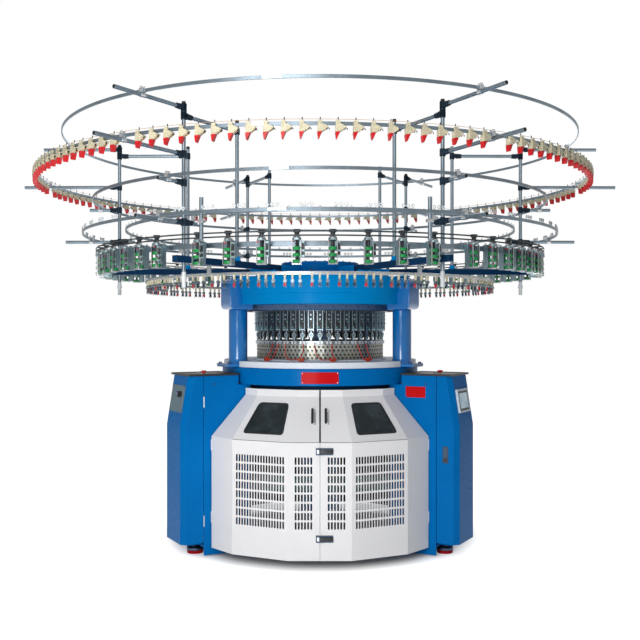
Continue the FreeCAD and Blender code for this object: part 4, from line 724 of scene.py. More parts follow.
def draw_ring_saddles(bm):
    """A saddle each side of the ring, a strap over it with two wing bolts, and a sleeve round the arm."""
    inner_low, inner_high = span("inner_ring")
    lower_high = span("lower_detector_ring")[1]
    lower_face, arm_top = lower_high.y / FLAT, ARM_HEIGHT["eyelet_ring"] + TUBE
    beam_low = span("radial_beams")[1].z - 42
    for angle in POSTS:
        place = outward(angle)
        for ring_node in ARM_RINGS:
            low, high = span(ring_node)
            face = crossing(ring_node, angle, high.y)
            for near, far in ((face + 1, face + 13), (face - 21, face - 9)):
                add_block(bm, (near, -13, low.z), (far, 13, high.z + 3), place)
            add_block(bm, (face - 21, -11, high.z + 0.5), (face + 13, 11, high.z + 6), place)
            for spot in (face - 15, face + 7):
                bolt_head(bm, place @ at(spot, 0, high.z + 6), 5, 5)
                add_block(bm, (spot - 2, -9, high.z + 10), (spot + 2, 9, high.z + 17), place)
            add_turned(bm, [(TUBE + 0.2, -16), (TUBE + 4, -16), (TUBE + 4, 16), (TUBE + 0.2, 16)], 20,
                       place=place @ at(face - 4, 0, ARM_HEIGHT[ring_node])
                       @ FACE_OUT)
        add_block(bm, (inner_high.y - 11, -13, arm_top), (inner_high.y + 3, 13, inner_low.z), place)
        add_block(bm, (lower_face - 11, -13, lower_high.z), (lower_face + 3, 13, beam_low), place)
        add_block(bm, (OUTER_POST + TUBE + 0.5, -18, 2008), (OUTER_POST + TUBE + 17, 18, 2030), place)


piece("post_clamps", "frame", CAST_DARK, draw_dark_clamps, ("creel_clamps",), 1.2, slot="cast_aluminium")
piece("ring_saddles", "frame", BRIGHT, draw_ring_saddles, bevel=1.0, slot="cast_aluminium")

# %% [markdown]
# ## Upper yarn detectors
# Cream housings hang outside the upper detector ring. Each housing leans to the right, and its
# slanted face carries a black knob, an amber strip and a round eye. A red flap closes it below, and a
# thin amber wire runs from peg to peg above the ring. One drawing for each material goes round the axis.

# %% Detector drawings
DETECTOR_LOW, DETECTOR_HIGH = span("detector_ring")[0].z, span("detector_ring")[1].z
DETECTOR_RADIUS = span("detector_ring")[1].y - 4
DETECTOR_STEP = 360 / 132
AMBER = moulded("amber_plastic", linear(206, 148, 80), 0.35)


def post_turn(angle):
    """An arm's angle as seen from the detector ring's own middle."""
    reach = crossing("detector_ring", angle, DETECTOR_RADIUS)
    spot = outward(angle) @ Vector((reach, 0, 0)) - DETECTOR_SHIFT.translation
    return math.degrees(math.atan2(spot.x, -spot.y))


ARM_TURNS = [post_turn(angle) for angle in POSTS]
DETECTOR_TURNS = [angle for angle in (DETECTOR_STEP * (index + 0.5) - 180 for index in range(132))
                  if all(abs(angle - arm) > math.degrees(54.5 / DETECTOR_RADIUS) for arm in ARM_TURNS)]


def detector_place():
    return at(DETECTOR_RADIUS, 0, DETECTOR_LOW)


def slant_place(along):
    """On the slanted face: its +X runs down the slant, +Z stands off the face."""
    high, low = Vector((0, 38, -18)), Vector((0, 13, -34))
    down = (low - high).normalized()
    off = Vector((0, -down.z, down.y)) * -1
    turn = Matrix((down, off.cross(down), off)).transposed().to_4x4()
    return detector_place() @ Matrix.Translation(high + down * along) @ turn


def draw_detector_housing(bm):
    place = detector_place()
    add_plate(bm, [(-12, 24), (12, 24), (13, -2), (-12, -2)], 4.5, 18, place)
    add_plate(bm, [(-13, -1), (14, -1), (41, -5), (42, -12), (38, -18), (13, -34), (-13, -36)], -14, 18, place)
    add_plate(bm, [(-12, 8), (14, 7), (40, -5), (38, -15), (12, -32), (-12, -34)], 17, 21, place)


def draw_detector_flap(bm):
    add_plate(bm, [(-15, -37), (12, -34), (2, -56), (-5, -73), (-10, -72)], -13, 19, detector_place())


def draw_detector_dark(bm):
    """The knob, the thin fork that hangs beside it, and the peg that stands on the ring."""
    add_drum(bm, (5, 34, -22), (5, 42, -12), 4.6, 3.6, 12, detector_place())
    add_drum(bm, (14, 44, -12), (14, 50, -28), 1.3, None, 6, detector_place())
    add_drum(bm, (14, 47, -18), (14, 50, -22), 3.2, None, 10, detector_place())
    add_drum(bm, (0, 2, 20), (0, 2, 42), 1.8, None, 8, detector_place())
    add_drum(bm, (0, 2, 36), (0, 2, 43), 3.0, None, 8, detector_place())


def draw_detector_strip(bm):
    add_block(bm, (4, -7, -0.5), (24, 7, 1.6), slant_place(0))


def draw_detector_eye(bm):
    add_turned(bm, [(0, -0.5), (6.5, -0.5), (6.5, 2.2), (5.2, 2.8), (4.4, 1.6), (0, 1.6)], 14, slant_place(25))


for part, finish, draw, replaces, slot, edge in (
        ("detector_housings", CREAM, draw_detector_housing, ("yarn_detectors",), None, 0.9),
        ("detector_flaps", FLAP_RED, draw_detector_flap, (), "red_plastic", 0.8),
        ("detector_knobs", BLACK, draw_detector_dark, (), "black_plastic", 0.0),
        ("detector_strips", AMBER, draw_detector_strip, (), "cream_plastic", 0.3),
        ("detector_eyes", TEAL, draw_detector_eye, (), "cream_plastic", 0.0)):
    round_axis(part, finish, draw, DETECTOR_TURNS, replaces, edge, slot=slot, middle=DETECTOR_SHIFT)

piece("detector_wire", "frame", AMBER, lambda bm: add_loop(
    bm, DETECTOR_RADIUS, 1.1, DETECTOR_SHIFT @ at(0, 0, DETECTOR_HIGH + 13), 192, 6),
    slot="cream_plastic")
print("upper detectors:", len(DETECTOR_TURNS))

# %% [markdown]
# ## Lower yarn detectors
# Below the crown's level, three small detectors hang for each station from the bright lower ring. They
# are mostly wire and metal. One in three shows a red flap at the tip, the others a dark cover.

# %% Lower detectors
LOWER_RING = span("lower_detector_ring")[0].z
LOWER_RADIUS = span("lower_detector_ring")[1].y / FLAT - 6
LOWER_TURNS = [station + offset for station in STATIONS for offset in (-2.1, 0.0, 2.1)]


def lower_place():
    return at(LOWER_RADIUS, 0, LOWER_RING)


def draw_lower_hook(bm):
    add_plate(bm, [(-6, 10), (5, 10), (6, -8), (2, -30), (-5, -30), (-8, -8)], -6, 6, lower_place())


def draw_lower_metal(bm):
    add_drum(bm, (-8, 0, -38), (8, 0, -38), 11, place=lower_place(), sides=14)
    add_drum(bm, (8, 0, -38), (12, 0, -38), 5, place=lower_place(), sides=10)
    add_loop(bm, 9, 1.2, lower_place() @ at(4, 3, -62) @ Matrix.Rotation(1.2, 4, "Y"), 12, 6)
    add_drum(bm, (0, -3, -30), (4, 9, -80), 1.5, place=lower_place(), sides=6)
    add_drum(bm, (0, 3, -30), (-8, -8, -74), 1.5, place=lower_place(), sides=6)


def draw_lower_flap(bm):
    add_plate(bm, [(-9, -50), (4, -46), (7, -60), (-2, -74), (-11, -68)], -7, 3, lower_place())


round_axis("lower_detector_hooks", CREAM, draw_lower_hook, LOWER_TURNS, ("lower_detectors",), 0.7,
           slot="cream_plastic")
round_axis("lower_detector_metal", STEEL, draw_lower_metal, LOWER_TURNS, slot="cast_aluminium")
round_axis("lower_detector_flaps", FLAP_RED, draw_lower_flap, LOWER_TURNS[::3], slot="red_plastic",
           bevel=0.7)
round_axis("lower_detector_covers", DARK_STEEL, draw_lower_flap,
           [turn for index, turn in enumerate(LOWER_TURNS) if index % 3], slot="black_plastic", bevel=0.7)

# %% [markdown]
# ## Ceramic eyelets
# White eyelets stand on the eyelet ring in groups of three, and a plain row on the inner ring.

# %% Eyelets
EYELET_TOP = span("eyelet_ring")[1].z
EYELET_RADIUS = span("eyelet_ring")[1].y - 4


def draw_eyelet(bm):
    add_drum(bm, (EYELET_RADIUS, 0, EYELET_TOP - 2), (EYELET_RADIUS, 0, EYELET_TOP + 8), 3, sides=8)
    add_loop(bm, 8, 3.2, at(EYELET_RADIUS, 0, EYELET_TOP + 16) @ FACE_OUT, 16, 8)


def draw_inner_eyelet(bm):
    high = span("inner_ring")[1]
    add_loop(bm, 6, 2.4, at(high.y - 4, 0, high.z + 7) @ FACE_OUT, 14, 6)


GUIDE_TURNS, GUIDE_RADIUS = (-23.5, 21.6), EYELET_RADIUS - 17


def draw_guide_tubes(bm):
    """Two short uprights at the front, clamped to the eyelet ring."""
    for angle in GUIDE_TURNS:
        add_drum(bm, (GUIDE_RADIUS, 0, 2062), (GUIDE_RADIUS, 0, 2305), 12.4, None, 24, outward(angle))


def draw_guide_clamps(bm):
    for angle in GUIDE_TURNS:
        for low in (2160, EYELET_TOP - 20):
            add_block(bm, (EYELET_RADIUS - 36, -19, low), (EYELET_RADIUS - 4.2, 19, low + 20), outward(angle))


piece("guide_tubes", "frame", ZINC, draw_guide_tubes, bevel=1.0, slot="galvanised_tube")
piece("guide_tube_clamps", "frame", BRIGHT, draw_guide_clamps, bevel=2.0, slot="cast_aluminium")
EYELET_STEP = 360 / 56
EYELET_TURNS = [EYELET_STEP * index - 2.5 + offset for index in range(56) for offset in (-0.97, 0.0, 0.97)
                if not near_post(EYELET_STEP * index - 2.5 + offset, 0.9)]
round_axis("ceramic_eyelets", CERAMIC, draw_eyelet, EYELET_TURNS, slot="cream_plastic")
round_axis("inner_eyelets", CERAMIC, draw_inner_eyelet,
           [3.75 * index for index in range(96) if not near_post(3.75 * index, 1.2)], slot="cream_plastic")

# %% [markdown]
# ## Positive feeders
# A feeder works by friction: a toothed cap driven by a belt turns three wheels. The feeders are
# clamped in a row to a thick rail, with a space at each post. A feeder is drawn once in five finishes:
# the grey bracket, the bright cone and side bars, the green wheels, the black caps, and a red lamp.

# %% Feeder drawings
AXIS = 1605.0
RAIL_LOW, RAIL_HIGH = span("feeder_rail")
RAIL_FACE = RAIL_HIGH.y
WHEEL_HEIGHTS = (2009.0, 1972.0, 1935.0)
PULLEY_TOP = span("feeder_pulleys")[1].z


def axle(height=0.0):
    """The upright axle that a feeder's wheels and caps share."""
    return at(AXIS, 0, height)


def draw_feeder_body(bm):
    """The cast bracket: a clamp over the rail, a back plate behind the wheels and a roof under the cone."""
    add_block(bm, (RAIL_FACE + 0.5, -13, 1921), (AXIS - 27, 13, 2068))
    add_block(bm, (RAIL_FACE + 0.5, -21, 2026), (AXIS - 27, 21, 2064))
    add_block(bm, (AXIS - 28, -12, 2056), (AXIS + 29, 12, 2068))
    add_turned(bm, [(0, 2056), (26, 2056), (26, 2068), (0, 2068)], 24, place=axle())
    add_block(bm, (AXIS - 27, 26, 1960), (AXIS + 6, 44, 2052))
    add_block(bm, (AXIS - 27, 12, 2020), (AXIS - 8, 30, 2052))


def draw_feeder_bright(bm):
    """The polished cone under the cap, the two side bars and the lower guide loop."""
    cone = [(0, 2068.5), (25, 2068.5), (24, 2072), (12, 2092), (9, PULLEY_TOP - 16), (0, PULLEY_TOP - 16)]
    add_turned(bm, cone, 20, axle())
    for side in (-1, 1):
        add_block(bm, (AXIS + 10, side * 25 - 2, 1922), (AXIS + 20, side * 25 + 2, 2056))
    add_block(bm, (AXIS - 27, -27, 1919), (AXIS + 20, 27, 1923))
    add_loop(bm, 7, 1.6, at(AXIS + 24, 22, 1930) @ FACE_OUT, 12, 6)
    add_drum(bm, (RAIL_FACE + 10, 0, 2062), (RAIL_FACE + 10, 0, 2078), 6, sides=10)


def draw_feeder_wheels(bm):
    """A wheel is a shallow spool: two rims and a narrow waist."""
    spool = [(0, -9), (25, -9), (26.3, -7.5), (26.3, -5), (23, -3), (23, 3), (26.3, 5), (26.3, 7.5), (25, 9),
             (0, 9)]
    for height in WHEEL_HEIGHTS:
        add_turned(bm, spool, 20, axle(height))


def draw_feeder_black(bm):
    """The flat caps, the wheels' hubs and the windows in the switch boxes."""
    for low in (PULLEY_TOP - 4, PULLEY_TOP - 17):
        disc = [(0, low), (21.5, low), (22, low + 1), (22, low + 3), (21.5, low + 4), (0, low + 4)]
        add_turned(bm, disc, 20, axle())
    low, high = PULLEY_TOP - 32, PULLEY_TOP - 16
    add_turned(bm, [(0, low), (14, low), (14, high), (0, high)], 16, axle())
    add_drum(bm, (AXIS, 0, 1926), (AXIS, 0, 2055), 8, sides=10)
    add_block(bm, (AXIS + 5, 28, 1972), (AXIS + 7.5, 42, 1992))
    add_block(bm, (AXIS + 5, 28, 2002), (AXIS + 7.5, 42, 2040))


def draw_feeder_lamp(bm):
    add_drum(bm, (AXIS - 8, -21, 2050), (AXIS + 4, -21, 2050), 4, sides=10)


round_axis("feeder_bodies", FEEDER_GREY, draw_feeder_body, FEEDERS, ("feeder_housings",), 1.0)
round_axis("feeder_bright_parts", BRIGHT, draw_feeder_bright, FEEDERS, slot="feeder_metal")
round_axis("feeder_green_wheels", GREEN, draw_feeder_wheels, FEEDERS, ("feeder_wheels",))
round_axis("feeder_caps", BLACK, draw_feeder_black, FEEDERS, ("feeder_pulleys",), slot="black_plastic")
round_axis("feeder_stop_lamps", FLAP_RED, draw_feeder_lamp, FEEDERS, slot="red_plastic")

# %% Rail and belts
BELT_FACE = AXIS + 22.6


def draw_rail(bm):
    low, high, back = RAIL_LOW.z, RAIL_HIGH.z, RAIL_FACE - 16.6
    add_turned(bm, [(back, low), (RAIL_FACE, low), (RAIL_FACE, high), (back, high)], 240)


def draw_belts(bm):
    for low, high in ((2101.5, 2110.5), (2077.5, 2086.5)):
        add_turned(bm, [(BELT_FACE, low), (BELT_FACE + 3, low), (BELT_FACE + 3, high), (BELT_FACE, high)], 240)


piece("feeder_rail_ring", "frame", ZINC, draw_rail, ("feeder_rail",), 1.2)
piece("feeder_drive_belts", "frame", BELT, draw_belts, ("feeder_belts",), 0.6)

# %% [markdown]
# ## Crown, hub and radial beams
# The crown is one big casting in light blue: a drum with a step below its top edge, a round hub on it and
# three cast sockets over the columns. A revolved outline gives the drum. The sockets have large soft
# corners, so each is an extruded outline with a wide bevel.

# %% Crown
CROWN = sprayed("crown_enamel", linear(0, 140, 212), 0.3, patch=0.05)
CROWN_TOP, CROWN_LOW, HUB_TOP = 1914.0, 1718.0, 2034.0
COLUMN_AXIS = 673


def draw_crown(bm):
    add_turned(bm, [(0, CROWN_LOW), (683, CROWN_LOW), (683, 1790), (690, 1793), (690, CROWN_TOP - 4),
                    (686, CROWN_TOP), (0, CROWN_TOP)], 160)


def draw_hub(bm):
    add_turned(bm, [(0, CROWN_TOP - 1), (289, CROWN_TOP - 1), (289, HUB_TOP - 4), (285, HUB_TOP),
                    (262, HUB_TOP), (258, HUB_TOP - 5), (0, HUB_TOP - 5)], 96)


def draw_sockets(bm):
    outline = [(592, 1682), (736, 1682), (752, 1686), (765, 1698), (771, 1714), (771, 1868), (765, 1884),
               (752, 1896), (736, 1900), (592, 1900)]
    for angle in LEGS:
        add_plate(bm, outline, -85, 85, outward(angle), plane="XZ")


def draw_socket_caps(bm):
    """The raised round on each socket's top, over its column."""
    for angle in LEGS:
        add_turned(bm, [(0, CROWN_TOP - 1), (60, CROWN_TOP - 1), (60, CROWN_TOP + 5), (56, CROWN_TOP + 8),
                        (0, CROWN_TOP + 8)], 40, outward(angle) @ at(COLUMN_AXIS, 0, 0))


piece("crown_drum", "frame", CROWN, draw_crown, ("crown",), 2.0)
piece("crown_hub", "frame", BLUE, draw_hub, bevel=1.5, slot="blue_paint")
piece("crown_socket_castings", "frame", GLOSS_BLUE, draw_sockets, ("crown_sockets",), 9.0, 4)
piece("crown_socket_caps", "frame", CROWN, draw_socket_caps, bevel=1.5, slot="blue_paint")


# %% Beams, saddles and crown screws
BEAM_LOW, BEAM_TOP, BEAM_ROOT = 1951, 1993, 520


def draw_beams(bm):
    for angle in POSTS:
        add_block(bm, (BEAM_ROOT, -21, BEAM_LOW), (1590, 21, BEAM_TOP), outward(angle))


def draw_beam_fittings(bm):
    """A beam's bright root by the hub, and a screwed saddle under it at the crown's edge."""
    for angle in POSTS:
        place = outward(angle)
        add_block(bm, (290.3, -21, BEAM_LOW), (BEAM_ROOT, 21, BEAM_TOP), place)
        add_block(bm, (598, -42, CROWN_TOP), (640, 42, BEAM_LOW), place)
        add_block(bm, (292, -36, BEAM_LOW - 7), (330, 36, BEAM_LOW), place)
        for side in (-32, 32):
            bolt_head(bm, place @ at(619, side, BEAM_LOW), 8, 7)
            bolt_head(bm, place @ at(311, side, BEAM_LOW), 7, 6)
        add_turned(bm, [(TUBE + 0.3, BEAM_TOP), (TUBE + 14, BEAM_TOP), (TUBE + 14, 1999), (TUBE + 7, 2004),
                        (TUBE + 7, 2022), (TUBE + 0.3, 2022)], 24, place @ at(INNER_POST, 0, 0))


def draw_beam_caps(bm):
    for angle in POSTS:
        add_block(bm, (1584, -20.5, BEAM_LOW + 0.5), (1589.9, 20.5, BEAM_TOP - 0.5), outward(angle))


def draw_crown_screws(bm):
    """Cap screws round the hub's foot and the crown's step, and one nut on the hub's front."""
    for index in range(24):
        bolt_head(bm, outward(7.5 + 15 * index) @ at(274, 0, HUB_TOP), 6, 5)
    for angle in LEGS:
        for side in (-62, 62):
            for radius in (604, 742):
                bolt_head(bm, outward(angle) @ at(radius, side, 1900), 8, 6)
    bolt_head(bm, outward(-12) @ at(289, 0, 1972) @ FACE_OUT, 9, 8)


piece("radial_beam_bars", "frame", NAVY, draw_beams, ("radial_beams",), 3.0, 3)
piece("beam_saddles", "frame", CROWN, draw_beam_fittings, bevel=2.0, slot="blue_paint")
piece("beam_end_plugs", "frame", BLACK, draw_beam_caps, bevel=1.0, slot="black_plastic")
piece("crown_screws", "frame", DARK_STEEL, draw_crown_screws, slot="machined_steel")

# %% [markdown]
# ## Columns
# Each column is a thick blue tube on a square cast base that is screwed to the table.


# %% Columns
TABLE_TOP, BASE_TOP = 1279.0, 1303


def draw_column(bm, angle):
    place = outward(angle)
    axis_place = place @ at(COLUMN_AXIS, 0, 0)
    add_turned(bm, [(0, 1290), (66.4, 1290), (66.4, 1676), (64, 1681.5), (0, 1681.5)], 64, axis_place)
    add_block(bm, (586.4, -94.6, TABLE_TOP), (796.6, 94.6, BASE_TOP), place)
    fillet = [(0, BASE_TOP), (86, BASE_TOP), (78, 1309), (70, 1322), (66, 1336), (0, 1336)]
    add_turned(bm, fillet, 64, axis_place)


for column, column_angle in zip(("column_left", "column_right", "column_rear"), LEGS):
    piece(column + "_casting", "frame", GLOSS_BLUE, lambda bm: draw_column(bm, column_angle), (column,),
          3.0, 3)


def draw_base_screws(bm):
    for angle in LEGS:
        for radius, side in ((606, -76), (606, 76), (777, -76), (777, 76)):
            bolt_head(bm, outward(angle) @ at(radius, side, BASE_TOP), 11, 10)
            add_drum(bm, (radius, side, BASE_TOP), (radius, side, BASE_TOP + 1.5), 16, place=outward(angle))


piece("column_base_screws", "frame", DARK_STEEL, draw_base_screws, slot="machined_steel", bevel=0.5)

# %% [markdown]
# ## The mesh skirt
# Under the crown hangs a cone of fine dark mesh over the carrier ring's top edge. Its holes are far
# smaller than a pixel, so they are a bump and a colour pattern on Object coordinates, and the folded
# hem at its lower edge is geometry.

# %% Skirt
def mesh_cloth():
    mesh = Finish("skirt_mesh")
    weave = mesh.wave(mesh.turn() * 900.0) * mesh.wave(mesh.axis(2) * 1500.0)
    tint = mesh.blend(mesh.band(weave, -0.2, 0.5), linear(84, 108, 138), linear(196, 208, 222))
    return mesh.done(Base_Color=tint, Metallic=0.2, Roughness=weave * 0.08 + 0.46,
                     Normal=mesh.bump(weave, 0.0006, 0.5))


SKIRT = mesh_cloth()


def draw_skirt(bm):
    add_turned(bm, [(559, 1672.4), (516, 1717.5), (512, 1717.5), (555, 1672.4)], 144)


def draw_skirt_hem(bm):
    add_turned(bm, [(559.6, 1672.4), (559.6, 1677), (555, 1679), (551, 1677), (551, 1672.4)], 144)
    for index in range(36):
        place = outward(10 * index) @ at(529, 0, 1703) @ Matrix.Rotation(math.radians(46), 4, "Y")
        bolt_head(bm, place, 4, 2.5)


piece("skirt_cone", "frame", SKIRT, draw_skirt, ("crown_skirt",))
piece("skirt_hem", "frame", DARK_STEEL, draw_skirt_hem, bevel=0.8, slot="machined_steel")

# %% [markdown]
# ## Yarn carriers
# Forty-eight carriers hang in a tight row: bright side rails, a dark core, and round knobs and noses
# that point down at the cylinder. This is the densest part of the machine, so each carrier gets
# many small forms in a few finishes.


# %% Carriers
CARRIER_KNOB = at(466, 0, 1503) @ FACE_OUT


def draw_carrier_core(bm):
    add_block(bm, (455.5, -28, 1545), (458, 28, 1672))
    add_block(bm, (457, -16, 1534), (478, 16, 1672))
    for height in (1660, 1630, 1600, 1570):
        add_block(bm, (476, -12, height - 10), (480, 12, height + 10))
    add_turned(bm, [(0, 0), (5, 0), (5, 10), (0, 10)], 10, at(480, 0, 1586) @ FACE_OUT)
    add_plate(bm, [(-20, 1536), (20, 1536), (24, 1500), (10, 1472), (-12, 1468), (-24, 1500)], 456, 466)
    add_turned(bm, [(0, 0), (15, 0), (15, 5), (0, 5)], 18, CARRIER_KNOB)


def draw_carrier_rails(bm):
    for side in (-18.5, 18.5):
        add_block(bm, (457, side - 1.8, 1530), (486, side + 1.8, 1673))
    add_block(bm, (458, -18, 1538), (482, 18, 1546))
    for height in (1645, 1615):
        add_turned(bm, [(0, 0), (7, 0), (7, 7), (5.5, 9), (3, 9), (3, 4), (0, 4)], 14,
                   at(480, 0, height) @ FACE_OUT)
    add_turned(bm, [(11, 4), (15.5, 4), (15.5, 9), (11, 9)], 18, CARRIER_KNOB)
    add_turned(bm, [(0, 4), (4.5, 4), (4.5, 12), (0, 12)], 12, CARRIER_KNOB)


def draw_carrier_noses(bm):
    add_plate(bm, [(-7, 1488), (7, 1488), (5, 1470), (2, 1464.5), (-3, 1464.5), (-6, 1474)], 466, 472)
    add_block(bm, (470, -3, 1512), (474, 3, 1534))


def draw_carrier_clips(bm):
    add_block(bm, (478, -12, 1551), (484, -3, 1563))
    add_block(bm, (478, 4, 1592), (483, 12, 1600))


HANGING_RING = [(437, 1673), (506, 1673), (506, 1700), (498, 1704), (498, 1717.5), (437, 1717.5)]
piece("carrier_hanging_ring", "frame", ALLOY, lambda bm: add_turned(bm, HANGING_RING, 144),
      ("carrier_ring",), 1.5)
round_axis("carrier_cores", BLACK, draw_carrier_core, STATIONS, ("yarn_carriers",), 0.8,
           slot="black_plastic")
round_axis("carrier_rails", CARRIER_STEEL, draw_carrier_rails, STATIONS, slot="machined_steel")
round_axis("carrier_noses", CARRIER_STEEL, draw_carrier_noses, STATIONS, slot="cast_aluminium", bevel=0.7)
round_axis("carrier_clips", TEAL, draw_carrier_clips, STATIONS, slot="teal_paint", bevel=0.6)

# %% [markdown]
# ## Cap ring, cam boxes and cylinder
# The ring of cam boxes is a wall of ground steel plates, each held by staggered rows of screws with
# brass bushes between them. The dark sockets in these rows are discs of painted shade. The needle
# cylinder's fine tricks are bump on a turned wall, with painted shade in the grooves between them.

# %% Cam boxes
CAM_FACE = 469.4


def draw_cap_ring(bm):
    add_turned(bm, [(437, 1437.4), (479.5, 1437.4), (479.5, 1446), (474, 1450), (474, 1461.6), (437, 1461.6)])


def draw_cap_blocks(bm):
    for side in (-19, 5):
        add_block(bm, (466, side, 1440), (480, side + 14, 1461.8))
    bolt_head(bm, at(479, 12, 1450) @ FACE_OUT, 4, 2)


def draw_cam_plates(bm):
    """Two stacked plates for each station, standing a little proud of the ring behind them."""
    half = 470 * math.tan(math.radians(3.75)) - 0.8
    for low, high in ((1330, 1380), (1382, 1436.5)):
        add_block(bm, (460, -half, low), (CAM_FACE, half, high))


def draw_cam_ring(bm):
    add_turned(bm, [(389, 1329.4), (463, 1329.4), (463, 1437), (389, 1437)], 144)


CAM_SPOTS = [(side + (7.6 if row % 2 else -7.6), height)
             for row, height in enumerate((1344, 1366, 1396, 1421)) for side in (-15.2, 15.2)]


def draw_cam_hole_shade(bm):
    """Dark sockets in four staggered rows: discs of painted shade for the shaded holes."""
    for side, height in CAM_SPOTS:
        add_turned(bm, [(0, -2), (9, -2), (9, 0.5), (0, 0.5)], 12, at(CAM_FACE, side, height) @ FACE_OUT)


def draw_cam_bushes(bm):
    for side, height in CAM_SPOTS:
        add_turned(bm, [(0, -1), (3.4, -1), (3.4, 0.9), (2.6, 1.5), (0, 1.5)], 8,
                   at(CAM_FACE, side + 5, height + 7) @ FACE_OUT)


def needle_wall():
    wall = Finish("needle_wall")
    tricks = wall.wave(wall.turn() * 1320.0)
    # Painted shade: where the wave is low, in the grooves between the tricks, the colour is dark.
    tint = wall.blend(wall.band(tricks, -0.4, 0.4), linear(70, 78, 86), linear(186, 192, 198))
    return wall.done(Base_Color=tint, Metallic=1.0, Roughness=0.3, Normal=wall.bump(tricks, 0.0006, 0.6))


NEEDLES = needle_wall()


def draw_cylinder(bm):
    add_turned(bm, [(356, 1150), (380.5, 1150), (380.5, 1446), (376, 1446), (374, 1440), (356, 1440)], 192)


def draw_race(bm):
    add_turned(bm, [(379, 1279.5), (437, 1279.5), (437, 1295), (433, 1299), (379, 1299)], 144)


piece("cap_ring_turned", "frame", STEEL, draw_cap_ring, ("cap_ring",), 0.8)
round_axis("cap_ring_blocks", ALLOY, draw_cap_blocks, STATIONS, slot="machined_steel", bevel=0.8)
piece("cam_ring_wall", "frame", CAM_STEEL, draw_cam_ring, ("cam_boxes",), 0.8)
round_axis("cam_plates", CAM_STEEL, draw_cam_plates, STATIONS, slot="machined_steel", bevel=1.0, segments=2)
# Painted shade: the black discs stand for the shade inside the cam plates' sockets.
round_axis("cam_sockets", BLACK, draw_cam_hole_shade, STATIONS, slot="black_plastic")
round_axis("cam_bushes", BRASS, draw_cam_bushes, STATIONS, slot="machined_steel")
piece("needle_cylinder_wall", "rotor", NEEDLES, draw_cylinder, ("needle_cylinder",), 0.8)
piece("cylinder_bearing_race", "rotor", STEEL, draw_race, bevel=0.8, slot="machined_steel")

# %% [markdown]
# ## Index ring
# A pale ring with a fine pitch of upright grooves lies under the cam boxes. Grooves repeat by a rule, so
# their outline is worked out point by point and extruded.


# %% Index ring
def draw_index_ring(bm):
    corners, low, top = 720, 1321.3, 1328.8
    pairs = zip(circle(488.5, corners), circle(491.5, corners))
    outer, inner = [pair[index % 2] for index, pair in enumerate(pairs)], circle(446, corners)
    join_rows(bm, [[bm.verts.new((x, y, z)) for x, y in line]
                   for line, z in ((outer, low), (outer, top), (inner, top), (inner, low))])


piece("index_ring_toothed", "frame", PALE, draw_index_ring, slot="machined_steel")

# %% [markdown]
# ## Table and cover
# The table is a deep blue ring that carries the head and the columns. A pale cover lies on it in three
# pieces with a notch round each column's base. Straight notch sides need a drawn outline, so each cover
# piece is a plan extruded upward.

# %% Table
TABLE_LOW, TABLE_EDGE, COVER_FACE = 1163.0, 726.5, 1320.8


def draw_table(bm):
    add_turned(bm, [(403, TABLE_LOW + 0.5), (TABLE_EDGE - 4, TABLE_LOW + 0.5), (TABLE_EDGE, TABLE_LOW + 5),
                    (TABLE_EDGE, TABLE_TOP - 8), (TABLE_EDGE - 6, TABLE_TOP), (403, TABLE_TOP)], 192)


def notch_line(radius, side=95.7):
    return math.degrees(math.asin(side / radius))


def arc_line(radius, first, last, steps):
    """Points on the plan of an arc about the machine's axis, between two angles from the front."""
    turns = (first + (last - first) * i / steps for i in range(steps + 1))
    return [(radius * math.sin(turn), -radius * math.cos(turn)) for turn in turns]


def draw_cover(bm):
    inner, outer, low, top = 586.0, 714.5, TABLE_TOP + 0.2, COVER_FACE
    add_turned(bm, [(463, low), (inner - 0.5, low), (inner - 0.5, top), (468, top), (463, top - 4)], 192)
    for start in (-60, 60, 180):
        first_out, last_out = start + notch_line(outer), start + 120 - notch_line(outer)
        first_in, last_in = start + notch_line(inner), start + 120 - notch_line(inner)
        add_plate(bm, arc_line(outer, math.radians(first_out), math.radians(last_out), 40)
                  + arc_line(inner, math.radians(last_in), math.radians(first_in), 40), low, top, plane="XY")


def draw_cover_screws(bm):
    for index in range(36):
        angle = 10 * index + 5
        if min(abs((angle - leg + 180) % 360 - 180) for leg in LEGS) > 11:
            bolt_head(bm, outward(angle) @ at(690, 0, COVER_FACE), 6, 2.5)


piece("table_ring", "frame", BLUE, draw_table, ("table",), 1.5)
piece("table_cover_plates", "frame", PALE, draw_cover, ("table_cover",), 2.5, 3)
piece("table_cover_screws", "frame", STEEL, draw_cover_screws, slot="machined_steel")

# %% [markdown]
# ## Air lines
# Four red connectors stand on the inner cover, and two thin red hoses rise from each to the cap ring. A
# hose is soft, so its line is a smooth curve through a few given points.

# %% Connectors and hoses
def add_hose(bm, stops, radius):
    """A round section swept along a smooth curve through the given points."""
    steps, sides = 6, 8
    spots = [Vector(stop) for stop in stops]
    padded = [spots[0] * 2 - spots[1], *spots, spots[-1] * 2 - spots[-2]]
    line = []
    for before, here, there, after in zip(padded, padded[1:], padded[2:], padded[3:]):
        for share in (step / steps for step in range(steps)):
            line.append((here * 2 + (there - before) * share
                         + (before * 2 - here * 5 + there * 4 - after) * share ** 2
                         + (here * 3 - before - there * 3 + after) * share ** 3) / 2)
    line.append(spots[-1])
    rows = []
    for index, spot in enumerate(line):
        way = line[min(index + 1, len(line) - 1)] - line[max(index - 1, 0)]
        rows.append(round_row(bm, spot, way.to_track_quat("Z", "Y").to_matrix(), radius, sides))
    join_rows(bm, rows, capped=True)


# Each connector's angle, then the angles at which its two hoses meet the cap ring.
AIR_LINES = ((-41.0, (-44.5, -38.2)), (-13.2, (-30.3, -13.9)), (8.9, (-4.5, 10.0)), (36.4, (33.7, 42.9)))


